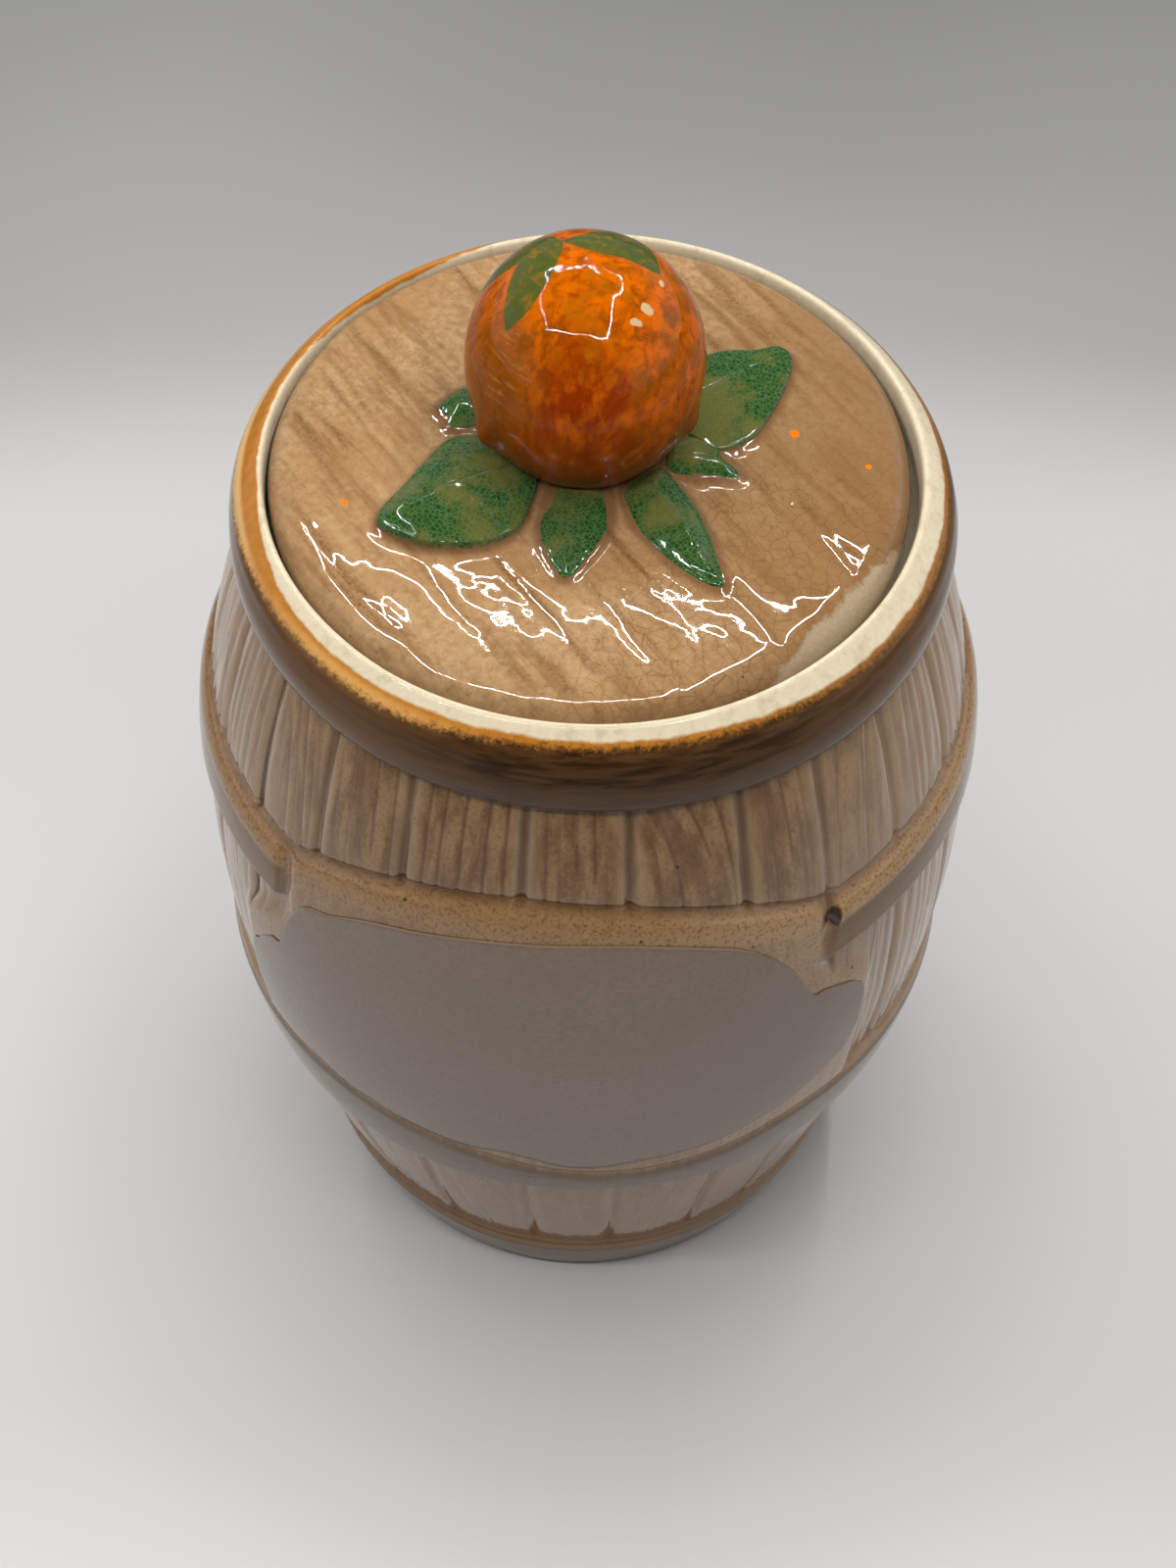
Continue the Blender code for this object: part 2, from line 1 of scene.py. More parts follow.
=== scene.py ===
"""Looks of a barrel-shaped marmalade jar in glazed earthenware: relief, glazes, paint, light, camera.

Shapes are worked out in millimetres in the frame's own axes: +Z up, the label place towards -Y.
Angles round the jar are in degrees from -Y towards +X.
"""

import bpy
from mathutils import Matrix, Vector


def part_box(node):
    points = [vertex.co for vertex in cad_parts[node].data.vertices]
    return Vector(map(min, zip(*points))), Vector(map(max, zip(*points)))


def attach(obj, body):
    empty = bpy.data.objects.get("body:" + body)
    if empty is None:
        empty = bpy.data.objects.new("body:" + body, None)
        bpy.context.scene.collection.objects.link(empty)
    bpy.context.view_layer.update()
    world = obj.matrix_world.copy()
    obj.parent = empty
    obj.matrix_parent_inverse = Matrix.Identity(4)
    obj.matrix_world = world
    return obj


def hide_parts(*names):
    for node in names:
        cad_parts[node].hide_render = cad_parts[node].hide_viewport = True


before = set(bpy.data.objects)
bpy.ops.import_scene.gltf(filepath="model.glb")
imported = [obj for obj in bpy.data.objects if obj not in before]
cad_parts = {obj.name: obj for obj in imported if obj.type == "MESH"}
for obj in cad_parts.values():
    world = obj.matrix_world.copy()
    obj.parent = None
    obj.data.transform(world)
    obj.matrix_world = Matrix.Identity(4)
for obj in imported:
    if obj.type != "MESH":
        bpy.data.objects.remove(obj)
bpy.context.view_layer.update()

import math

import bpy
import numpy as np
from mathutils import Matrix, Vector

MM = 0.001

# Camera: lens and sensor in mm, place in mm, angles in degrees
CAMERA_LENS = 50.0
CAMERA_SENSOR = 36.0
CAMERA_PLACE = (14.67, -167.68, 309.97)
CAMERA_DOWN = 54.63
CAMERA_TURN = 4.95
CAMERA_ROLL = 1.17

# Square lamp over the jar, made of four thin strips: back, front, left and right
LAMP_HEIGHT = 350.0
LAMP_BACK = 140.0
LAMP_FRONT = -132.0
LAMP_MIDDLE = -28.0
LAMP_HALF_WIDTH = 122.0
LAMP_STRIP = 0.8
LAMP_POWERS = (0.50, 0.34, 0.37, 0.37)

# Light from around by direction, where 1 is white, and the parts of the direction that it changes over
SURROUND_FRONT = 0.11
SURROUND_BACK = 0.29
SURROUND_TOP = 0.06
SURROUND_SIDE = 0.60
SURROUND_LEAN = 0.08
SIDE_SPAN = (0.4, 0.9)
BACK_SPAN = (-0.7, 0.2)
TOP_SPAN = (0.25, 0.7)

# Floor, with a painted shade of a backdrop fold behind the jar
FLOOR_HALF = 2500.0
FOLD_BEHIND = 138.0
FOLD_SLANT = 0.104

# Barrel curve of the stave faces, as in the frame's jar body
BELLY_RADIUS = 48.48
BELLY_HEIGHT = 75.0
BARREL_SPAN = 60.0
BARREL_BOW = 11.0
BARREL_SKEW = 2.2

# Staves: joints, then grain strokes that lie along columns of the skin
FIRST_GROOVE = -50.5
STAVE_WIDTHS = (13.5, 15.0, 18.0, 15.4, 17.1, 13.5, 14.2, 15.6, 14.4, 16.2, 13.8, 15.5,
                14.9, 16.6, 13.7, 15.2, 16.0, 14.1, 15.3, 13.9, 15.8, 14.6, 13.6, 14.1)
GROOVE_DEPTH = 0.55
GROOVE_HALF = 0.65
GROOVE_LIP = 0.12
GROOVE_SIDES = (0.0, 0.42, 0.95)
STAVE_CROWN = 0.16
STROKES = 5
STROKE_SIDE = 0.42
STROKE_MARGIN = 1.4
STROKE_DEPTH = 0.22
TIER_STROKES = (0.25, 0.8, 1.0)
GRAIN_DEPTH = 0.08
STAVE_SEED = 5
GRAIN_SEED = 8
GRAIN_LEANS = (0.0, 0.03, -0.04, 0.17, -0.16)
UPPER_LEANS = (0.18, 0.04, -0.02, 0.02, 0.20, 0.06, -0.17)

# Hoops: edges and rises in mm
BASE_TOP = 13.6
BASE_RISE = 1.3
LOWER_BOTTOM = 48.2
LOWER_TOP = 58.0
LOWER_RISE = 1.3
UPPER_BOTTOM = 94.2
UPPER_TOP = 103.6
UPPER_RISE = 1.25
BASE_SHOULDER = 2.0
LOWER_SHOULDER = 2.6
UPPER_SHOULDER = 3.4
HOOP_FOOT = 0.8
LOWER_HOOP_TOP_LINE = ((-180, 58.0), (-75, 58.8), (-45, 60.6), (-32, 60.7), (-22, 60.0),
                       (-12, 58.8), (-5, 57.6), (2, 56.4), (14, 55.9), (28, 57.4), (38, 59.6),
                       (55, 59.2), (80, 58.2), (180, 58.0))
LOWER_HOOP_BOTTOM_LINE = ((-180, 48.2), (-60, 47.6), (-28, 46.9), (0, 48.8), (14, 48.9),
                          (34, 47.0), (60, 47.6), (180, 48.2))
BLOT_PLACE = (41.4, 101.2)
BLOT_SIZE = 1.15

# Label panel and its ledge
PANEL_RISE = 1.05
PANEL_RIGHT = 51.5
PANEL_LEFT = -54.5
PANEL_NARROW_RIGHT = 42.0
PANEL_NARROW_LEFT = -43.0
LEDGE_ARCH = 7.9
LEDGE_HALF = 41.0
LEDGE_WIDTH = 4.2
LEDGE_CREASE = 0.45
HOOP_END_LEFT = -40.5
HOOP_END_RIGHT_LOW = 39.3
HOOP_END_RIGHT_HIGH = 41.6

# Label outline: upper and lower edges as (angle, height)
LABEL_TOP_LINE = ((-51.6, 72.0), (-51.0, 76.0), (-48.6, 80.4), (-45.0, 84.6), (-42.0, 87.2),
                  (-41.0, 91.2), (-39.4, 94.6), (-32.3, 99.4), (-25.8, 102.4), (-18.0, 104.5),
                  (-10.7, 106.0), (-0.3, 107.2), (12.3, 107.1), (22.1, 105.0), (26.6, 103.3),
                  (30.2, 100.9), (33.4, 97.6), (35.8, 94.1), (37.5, 90.6), (38.7, 88.5),
                  (39.9, 88.5), (42.9, 87.5), (46.8, 85.0), (48.2, 82.8), (48.8, 79.9))
LABEL_BOTTOM_LINE = ((-51.6, 70.2), (-50.6, 66.6), (-48.6, 64.6), (-43.7, 63.6), (-38.4, 62.1),
                     (-32.3, 60.9), (-19.6, 60.0), (-12.0, 59.6), (-6.0, 60.4), (-2.0, 59.6),
                     (3.0, 57.8), (8.5, 57.9), (13.0, 58.9), (24.4, 60.4), (32.1, 62.6),
                     (38.3, 65.0), (43.5, 68.3), (46.5, 70.6), (48.1, 75.2), (48.8, 79.0))
LABEL_ROWS = 60
LABEL_LIFT = 0.05
LABEL_FILM = 0.10

# Rim, mouth and inside, as (radius, distance below the rim's top)
TOP_HOOP_CREASE = 125.8
RIM_ROWS = 30
RIM_LIFT = 2.0
MOUTH_SHIFT = (-0.05, 0.15, 0.35)
RIM_LINE = ((40.30, 7.68), (40.78, 7.25), (40.98, 6.3), (40.98, 5.2), (40.78, 4.2), (40.42, 3.4),
            (40.22, 2.90), (39.92, 2.42), (39.50, 1.95), (38.90, 1.42), (38.20, 0.84), (37.60, 0.36),
            (37.20, 0.06), (36.86, -0.08), (36.58, 0.04), (36.40, 0.42), (36.32, 1.4), (36.5, 6.4))
INSIDE_LINE = ((36.4, 5.55), (33.25, 5.55), (33.1, 5.75), (33.1, 7.9), (33.7, 10.4), (38.2, 26.0),
               (42.2, 45.0), (43.8, 63.0), (43.0, 80.0), (39.6, 98.0), (34.9, 112.5),
               (31.9, 118.6), (28.0, 123.4), (20.0, 126.2))

# Rings of the base's recess as (distance in, height), and marks in the field way beside the rim
BASE_RINGS = ((4.2, 0.7), (3.2, 0.0))
WAY_BASE = 199.0
WAY_SKIN = 99.0
WAY_INSIDE = -9.0

# Rows of the skin: from each height on, one every so many mm, up to the crease under the top hoop
ROW_STEPS = ((0.0, 0.5), (1.5, 1.5), (10.6, 0.28), (15.0, 1.7), (46.8, 0.28), (49.8, 0.9), (55.2, 0.28),
             (59.6, 1.5), (92.8, 0.28), (95.8, 0.9), (99.6, 0.28), (105.2, 1.1), (123.2, 0.4),
             (TOP_HOOP_CREASE, 0.0))

# Slow swell in the surface of jar and label alike: noise, then its depth in mm
SWELL = (0.22, 2.0, 0.5, 23.0)
SWELL_DEPTH = 0.06

# Lid: relief in mm and plank joints as offsets across the planks
PLANK_DIRECTION = -49.0
PLANK_OFFSETS = (-35.0, -23.7, -11.5, 0.7, 12.9, 25.1)
PLANK_GROOVE = 0.16
LID_STROKES = 80
LID_SEED = 17
LID_COLUMNS = 420
LID_RINGS = 74
LID_EDGE_RINGS = 14
STROKE_CUT = 0.05
LID_EDGE_ROUND = 3.0
LID_EDGE_FULLER = 1.0
LID_RISE = 1.9
LID_DOME = 0.9
LID_GROWTH = 0.75
LID_ASIDE = (0.35, 0.7)
LID_WORN = 32.3
LID_HOLLOW = 0.3
LEAF_FILLET = 0.40
LID_DROPS = ((21.9, 6.1, 0.65), (30.3, 2.4, 0.40), (-26.2, -9.5, 0.45))

# Orange knob: painted leaves and bare spots in degrees from the crown, turned round it by PAINT_TURN
PAINT_TURN = 5.0
OUTLINE_POINTS = 120
PAINTED_LEAVES = (
    ((-11, 14), (-12, 4), (-16, -8), (-22.5, -19), (-31, -26), (-40, -28), (-41, -20), (-38, -6),
     (-33, 6), (-24, 13), (-15, 16)),
    ((-13, 15), (-22, 11), (-34, 7), (-50, 9), (-61.4, 16.2), (-50, 24), (-32, 31), (-18, 24)),
    ((-11, 14), (-4, 8), (4.4, 4.1), (18, 3.2), (34, 2), (35, 10), (31, 24), (21, 36), (12, 35),
     (6.9, 28.7), (-2, 21)))
BARE_SPOTS = ((29.3, -21.0, 3.6, 3.0), (24.4, -29.0, 4.0, 2.2), (36.2, -3.0, 1.6, 2.8))
KNOB_NUBS = ((-52.0, 109.0, 1.0), (73.0, 108.0, 0.7))
KNOB_TALL = 1.099
KNOB_SUNK = 0.9
KNOB_COLUMNS = 256
KNOB_ROWS = 150

# Relief leaves round the orange: outline and spine in mm from the knob's axis, then its edge,
# crown, groove and lumps as heights in mm
LEAVES = {
    "leaf_large_left": (
        ((-20.7, -15.9), (-20.0, -17.1), (-17.3, -18.3), (-14.6, -19.0), (-10.3, -18.6), (-7.4, -17.3),
         (-5.5, -15.4), (-4.6, -12.0), (-4.6, -7.4), (-9.4, -4.2), (-12.0, -2.5), (-14.8, -3.6),
         (-16.8, -7.2), (-18.6, -11.1), (-20.2, -14.0)),
        (-7.0, -7.5), (-18.0, -15.2), 1.7, 1.5, -0.15, 0.12),
    "leaf_small_left": (
        ((-16.6, 1.9), (-15.2, 4.0), (-13.6, 5.0), (-9.6, 3.4), (-9.4, -0.8), (-12.0, -1.3),
         (-14.9, -1.2), (-15.5, 0.3)),
        (-9.0, 1.2), (-15.0, 2.6), 0.8, 0.9, 0.05, 0.15),
    "leaf_front": (
        ((-2.6, -8.4), (0.4, -7.8), (3.4, -8.6), (4.2, -11.6), (4.1, -14.2), (3.2, -16.8),
         (2.0, -19.2), (0.9, -21.3), (-0.2, -21.6), (-1.5, -19.8), (-2.8, -17.2), (-3.3, -14.4),
         (-3.1, -11.2)),
        (0.5, -9.0), (0.4, -20.2), 0.8, 0.8, 0.05, 0.2),
    "leaf_front_right": (
        ((5.2, -8.4), (8.2, -4.8), (9.6, -4.8), (11.3, -7.2), (13.4, -10.4), (14.9, -13.8),
         (16.0, -17.2), (16.9, -20.2), (16.5, -20.9), (14.9, -20.6), (12.0, -18.8),
         (9.3, -16.4), (7.2, -13.9), (5.8, -11.2)),
        (8.0, -7.6), (15.7, -19.6), 0.9, 0.9, -0.2, 0.08),
    "leaf_small_right": (
        ((9.2, -4.4), (9.6, -0.6), (11.4, 0.9), (13.4, 1.0), (15.1, -0.3), (15.5, -2.2),
         (17.4, -4.3), (17.2, -5.4), (14.6, -5.4), (12.2, -6.0), (10.2, -6.0)),
        (9.6, -2.8), (14.6, -3.0), 0.7, 0.8, 0.05, 0.15),
    "leaf_large_right": (
        ((8.2, 8.0), (12.2, 12.6), (14.8, 14.0), (18.0, 14.5), (20.6, 15.5), (22.3, 14.2),
         (22.2, 10.8), (21.3, 7.1), (20.2, 3.9), (18.8, 1.0), (16.8, -0.8), (14.6, -1.4),
         (12.0, 0.2), (9.6, 2.0)),
        (10.5, 5.2), (20.2, 13.2), 1.5, 0.3, -0.05, 0.04),
}
LEAF_STAND = 0.25
LEAF_COLUMNS = 220
LEAF_RINGS = 16
LEAF_WALL = ((-0.30, -0.4), (-0.22, 0.0), (-0.08, 0.35), (0.0, 0.70), (0.10, 0.88), (0.26, 0.98), (0.50, 1.0))


def colour(red, green, blue):
    """Linear colour of a screen colour given as 0 to 255."""
    def linear(value):
        value /= 255.0
        return value / 12.92 if value <= 0.04045 else ((value + 0.055) / 1.055) ** 2.4
    return (linear(red), linear(green), linear(blue))


def unit(value):
    """Value kept from 0 to 1."""
    return np.clip(value, 0.0, 1.0)


def ease(value):
    """Smooth step from 0 to 1, on numbers or arrays."""
    value = unit(value)
    return value * value * (3.0 - 2.0 * value)


def part_way(low, high, share):
    """Value part of the way from low to high."""
    return low + (high - low) * share


def peak(away, half):
    """Bell of height 1 that has fallen to about a third where away is half."""
    return np.exp(-(away / half) ** 2)


def lattice(i, j, seed):
    """Repeatable value from 0 to 1 at each pair of whole numbers."""
    mixed = (i * 374761393 + j * 668265263 + seed * 362437) & 0xFFFFFFFF
    mixed = ((mixed ^ (mixed >> 13)) * 1274126177) & 0xFFFFFFFF
    return ((mixed ^ (mixed >> 16)) & 0xFFFF) / 65535.0


def noise(x, y, seed, wrap=0):
    """Smooth value noise from -1 to 1; x repeats after wrap cells where wrap is given."""
    i = np.floor(x).astype(np.int64)
    j = np.floor(y).astype(np.int64)
    u = ease(x - i)
    v = ease(y - j)
    left, right = (i % wrap, (i + 1) % wrap) if wrap else (i, i + 1)
    low = lattice(left, j, seed) * (1.0 - u) + lattice(right, j, seed) * u
    high = lattice(left, j + 1, seed) * (1.0 - u) + lattice(right, j + 1, seed) * u
    return 2.0 * (low * (1.0 - v) + high * v) - 1.0


def smooth_line(x, points):
    """Height at each x of a smooth curve through points."""
    xs, ys = np.array(points, float).T
    slope = np.gradient(ys, xs)
    i = np.clip(np.searchsorted(xs, x) - 1, 0, len(xs) - 2)
    step = xs[i + 1] - xs[i]
    t = unit((x - xs[i]) / step)
    start = (1.0 + 2.0 * t) * (1.0 - t) ** 2 * ys[i] + t * (1.0 - t) ** 2 * step * slope[i]
    end = t * t * (3.0 - 2.0 * t) * ys[i + 1] + t * t * (t - 1.0) * step * slope[i + 1]
    return start + end


def wrapped(degrees):
    """Angles brought between -180 and 180."""
    return (degrees + 180.0) % 360.0 - 180.0


def grid_faces(rows, columns, wrap, first=0):
    """Quads over a grid of points stored row by row."""
    row, column = np.meshgrid(np.arange(rows - 1), np.arange(columns if wrap else columns - 1),
                              indexing="ij")
    beside = (column + 1) % columns
    corners = (row * columns + column, row * columns + beside,
               (row + 1) * columns + beside, (row + 1) * columns + column)
    return (np.stack(corners, axis=-1).reshape(-1, 4) + first).tolist()


def stand(name, data):
    """Object of a mesh, a light or a camera, in the scene."""
    made = bpy.data.objects.new(name, data)
    bpy.context.scene.collection.objects.link(made)
    return made


def make_piece(name, points, faces, fields, look, body, nodes):
    """Object of one mesh, in place, with its fields, glaze, body, slot and the nodes that it replaces."""
    mesh = bpy.data.meshes.new(name)
    mesh.from_pydata((np.asarray(points) * MM).tolist(), [], faces)
    mesh.shade_smooth()
    for field, values in fields.items():
        layer = mesh.attributes.new(field, "FLOAT", "POINT")
        layer.data.foreach_set("value", np.ascontiguousarray(values, np.float32))
    mesh.materials.append(look)
    made = stand(name, mesh)
    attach(made, body)
    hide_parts(*nodes)


def make_skin(node, grid, ends, fields, look, body, flip=False):
    """Glazed piece in a node's place: a closed skin of rings, filled at its first and last ring.

    Ends are the two middle points. A field is given as its values over the rings and at the ends.
    """
    rows, columns = grid.shape[:2]
    total = rows * columns
    last = total - columns
    faces = grid_faces(rows, columns, True)
    for k in range(columns):
        beside = (k + 1) % columns
        faces += [(beside, k, total), (last + k, last + beside, total + 1)]
    if flip:
        faces = [face[::-1] for face in faces]
    values = {name: np.append(over, at_ends) for name, (over, *at_ends) in fields.items()}
    points = np.concatenate((grid.reshape(-1, 3), ends))
    make_piece(node + "_glazed", points, faces, values, look, body, [node])


class Value:
    """What a node gives out; its signs +, -, * and abs() each add a node for the sum."""

    def __init__(self, nodes, socket):
        self.nodes = nodes
        self.socket = socket

    def __add__(self, other):
        return self.nodes.math("ADD", self, other)

    def __sub__(self, other):
        return self.nodes.math("SUBTRACT", self, other)

    def __rsub__(self, other):
        return self.nodes.math("SUBTRACT", other, self)

    def __mul__(self, other):
        return self.nodes.math("MULTIPLY", self, other)

    def __abs__(self):
        return self.nodes.math("ABSOLUTE", self, 0.0)

    def span(self, low, high, first, last, kind="LINEAR"):
        """First up to low, last from high on, and steadily from one to the other between."""
        ends = {"Value": self, "From Min": low, "From Max": high, "To Min": first, "To Max": last}
        return self.nodes.add("ShaderNodeMapRange", "Result", ends, interpolation_type=kind)

    def between(self, low, high):
        """0 below low, 1 above high, smooth between; low may be the larger."""
        ends = (low, high, 0.0, 1.0) if low < high else (high, low, 1.0, 0.0)
        return self.span(*ends, "SMOOTHSTEP")


class Nodes:
    """Node tree of a material or a world, built by short calls."""

    def __init__(self, owner):
        owner.use_nodes = True
        self.tree = owner.node_tree

    def put(self, socket, value):
        """Set a socket from a node's value, a number or a screen colour."""
        if isinstance(value, Value):
            self.tree.links.new(value.socket, socket)
        elif isinstance(value, tuple) and len(socket.default_value) == 4:
            socket.default_value = (*colour(*value), 1.0)
        else:
            socket.default_value = value

    def add(self, kind, output, inputs, **settings):
        """One output of a new node of a kind, with its settings and inputs."""
        node = self.tree.nodes.new(kind)
        for key, value in settings.items():
            setattr(node, key, value)
        for key, value in inputs.items():
            self.put(node.inputs[key], value)
        return Value(self, node.outputs[output])

    def split(self, vector):
        """The three parts of a vector."""
        first = self.add("ShaderNodeSeparateXYZ", 0, {0: vector})
        return [Value(self, socket) for socket in first.socket.node.outputs]

    def math(self, operation, first, second):
        """Result of one sum."""
        return self.add("ShaderNodeMath", 0, {0: first, 1: second}, operation=operation)


class Look(Nodes):
    """One material's nodes; lengths in its coordinates are millimetres."""

    def __init__(self, name):
        self.made = bpy.data.materials.new(name)
        super().__init__(self.made)
        place = {"Vector": self.add("ShaderNodeTexCoord", "Object", {}), "Scale": 1.0 / MM}
        self.place = self.add("ShaderNodeVectorMath", "Vector", place, operation="SCALE")
        self.x, self.y, self.z = self.split(self.place)

    def field(self, name):
        """Value stored on the mesh."""
        return self.add("ShaderNodeAttribute", "Fac", {}, attribute_name=name)

    def blend(self, share, first, second):
        """Colour between two."""
        return self.add("ShaderNodeMix", 2, {0: share, 6: first, 7: second}, data_type="RGBA")

    def coats(self, base, *coats):
        """Base with coats over it, each given as its share from 0 to 1 and its colour."""
        for share, tint in coats:
            base = self.blend(share, base, tint)
        return base

    def stretched(self, stretch, shift, turn=(0.0, 0.0, 0.0)):
        """Coordinates turned back by angles in degrees, then multiplied by one number or along each axis."""
        sizes = stretch if isinstance(stretch, tuple) else (stretch,) * 3
        inputs = {"Vector": self.place, "Location": (shift * 3.0, shift * 2.0, shift),
                  "Rotation": tuple(math.radians(angle) for angle in turn),
                  "Scale": tuple(1.0 / size for size in sizes)}
        return self.add("ShaderNodeMapping", "Vector", inputs, vector_type="TEXTURE")

    def clouds(self, place, detail, rough, warp):
        """Noise with one feature in each unit of a place."""
        inputs = {"Vector": place, "Scale": 1.0, "Detail": detail, "Roughness": rough, "Distortion": warp}
        return self.add("ShaderNodeTexNoise", "Fac", inputs)

    def noise(self, stretch, detail, rough, shift=0.0, turn=(0.0, 0.0, 0.0), warp=0.0):
        """Noise with so many features a millimetre, the same on every axis or along each."""
        return self.clouds(self.stretched(stretch, shift, turn), detail, rough, warp)

    def cells(self, size, feature, shift):
        """Distance in cells of about size mm."""
        inputs = {"Vector": self.stretched(1.0 / size, shift), "Scale": 1.0}
        return self.add("ShaderNodeTexVoronoi", "Distance", inputs, feature=feature)

    def specks(self, size, limit, shift):
        """1 inside small round specks set in cells of size mm."""
        return self.cells(size, "F1", shift).between(limit, limit * 0.55)

    def spot(self, place, size):
        """1 inside an ellipsoid of half-widths size round a place in mm, soft at its edge."""
        inputs = {"Vector": self.place, "Location": tuple(-where / half for where, half in zip(place, size)),
                  "Scale": tuple(1.0 / half for half in size)}
        away = self.add("ShaderNodeMapping", "Vector", inputs)
        return self.add("ShaderNodeVectorMath", "Value", {0: away}, operation="LENGTH").between(1.1, 0.8)

    def finish(self, base, roughness, bumps=(), bend=1.52, mirror=0.5):
        """Glazed surface; bumps are heights of 0 to 1, each with its depth in mm, from the first on."""
        inputs = {"Base Color": base, "Roughness": roughness, "IOR": bend, "Specular IOR Level": mirror}
        before = {}
        for height, depth in bumps:
            bump = self.add("ShaderNodeBump", "Normal", {"Distance": depth * MM, "Height": height, **before})
            before = {"Normal": bump}
        for key, value in {**inputs, **before}.items():
            self.put(self.tree.nodes["Principled BSDF"].inputs[key], value)
        return self.made


def patch(across, along, middle, half):
    """1 at the middle of an ellipse over two values, fading to 0 at its half-widths."""
    x = (across - middle[0]) * (1.0 / half[0])
    y = (along - middle[1]) * (1.0 / half[1])
    return (x * x + y * y).between(1.0, 0.0)


def barrel(height):
    """Radius of the stave faces at a height."""
    t = (height - BELLY_HEIGHT) / BARREL_SPAN
    return BELLY_RADIUS - BARREL_BOW * t ** 2 - BARREL_SKEW * t ** 3


def groove_angles():
    """Angles of the joints between staves, rising from the first one."""
    widths = np.array(STAVE_WIDTHS) * 360.0 / sum(STAVE_WIDTHS)
    return FIRST_GROOVE + np.concatenate(([0.0], np.cumsum(widths)))


def stave_layout():
    """Columns of the skin: angle, stave, place across it from 0 to 1, and stroke, or -1 beside strokes."""
    grooves = groove_angles()
    chance = np.random.default_rng(STAVE_SEED)
    columns = []
    for stave, (start, end) in enumerate(zip(grooves, grooves[1:])):
        width = math.radians(end - start) * BELLY_RADIUS
        jitter = chance.uniform(-0.22, 0.22, STROKES)
        places = np.arange(STROKES) + 0.5 + jitter
        middles = STROKE_MARGIN + (width - 2.0 * STROKE_MARGIN) * places / STROKES
        columns += [(stave, offset / width, -1) for offset in GROOVE_SIDES]
        for stroke, middle in enumerate(middles):
            columns += [(stave, (middle - STROKE_SIDE) / width, -1), (stave, middle / width, stroke),
                        (stave, (middle + STROKE_SIDE) / width, -1)]
        columns += [(stave, 1.0 - offset / width, -1) for offset in GROOVE_SIDES[:0:-1]]
    stave, across, stroke = np.array(columns).T
    stave = stave.astype(int)
    angle = grooves[stave] + across * np.diff(grooves)[stave]
    return angle, stave, across, stroke.astype(int)


def skin_heights():
    """Plain heights of the skin's rows, closer together at the hoops' edges."""
    heights = []
    for (low, step), (high, _) in zip(ROW_STEPS, ROW_STEPS[1:]):
        count = int(round((high - low) / step))
        heights.append(part_way(low, high, np.arange(count) / count))
    return np.append(np.concatenate(heights), TOP_HOOP_CREASE)


def hoop_lines(angle):
    """Heights of the hoops' edges at each angle, from the base hoop's top to the upper hoop's top."""
    around = wrapped(angle)
    ripple = 0.22 * noise(angle / 18.0 + 20.0, 0.0 * angle, 31, 20)
    bow = LEDGE_ARCH * (1.0 - unit(np.abs(around) / LEDGE_HALF) ** 2)
    return (BASE_TOP + ripple, smooth_line(around, LOWER_HOOP_BOTTOM_LINE) + ripple,
            smooth_line(around, LOWER_HOOP_TOP_LINE) + 0.5 * ripple, UPPER_BOTTOM + ripple,
            UPPER_TOP + 0.5 * ripple + bow)


def grain_plan():
    """Lean of each stave's grain, and each stroke's depth, start and end, tier by tier."""
    chance = np.random.default_rng(GRAIN_SEED)
    count = len(STAVE_WIDTHS)
    lean = chance.choice(GRAIN_LEANS, (3, count), p=(0.3, 0.2, 0.2, 0.15, 0.15))
    lean[2, :len(UPPER_LEANS)] = UPPER_LEANS
    depth = STROKE_DEPTH * chance.uniform(0.1, 1.0, (3, count, STROKES))
    depth *= np.array(TIER_STROKES)[:, None, None]
    lean[0] *= 0.5
    start = chance.uniform(-0.6, 0.35, depth.shape)
    end = chance.uniform(0.7, 1.7, depth.shape)
    return lean, depth, start, end


def skin_grid():
    """Angles and heights of the skin's points, and the depth of the grain strokes at each."""
    angle, stave, across, stroke = stave_layout()
    heights = skin_heights()[:, None]
    lean, depth, start, end = grain_plan()
    width = np.diff(groove_angles())[stave]
    past = (ease((heights - LOWER_BOTTOM) / 10.0), ease((heights - UPPER_BOTTOM) / 10.0))
    weights = (1.0 - past[0], past[0] - past[1], past[1])
    tiers = ((BASE_TOP, LOWER_BOTTOM), (LOWER_TOP, UPPER_BOTTOM), (UPPER_TOP, TOP_HOOP_CREASE))
    slide = np.zeros((len(heights), len(angle)))
    cut = np.zeros_like(slide)
    for tier, (low, high) in enumerate(tiers):
        share = unit((heights - low) / (high - low))
        bow = weights[tier] * (0.7 - 1.7 * share ** 2)
        slide += bow * (lean[tier][stave] * 4.0 * across * (1.0 - across) * width)
        here = ease((heights - low) / 0.8) * ease((high - heights) / 0.8)
        deep = np.where(stroke >= 0, depth[tier][stave, stroke], 0.0)
        begun = ease((share - start[tier][stave, stroke]) / 0.2)
        ended = ease((end[tier][stave, stroke] - share) / 0.2)
        cut += deep * here * begun * ended
    angles = angle + slide
    plain = (0.0, BASE_TOP, LOWER_BOTTOM, LOWER_TOP, UPPER_BOTTOM, UPPER_TOP, TOP_HOOP_CREASE)
    bent = (0.0, *hoop_lines(angles), TOP_HOOP_CREASE)
    height = np.zeros_like(angles)
    for low, high, bent_low, bent_high in zip(plain, plain[1:], bent, bent[1:]):
        height += unit((heights - low) / (high - low)) * (bent_high - bent_low)
    return angles, height, cut


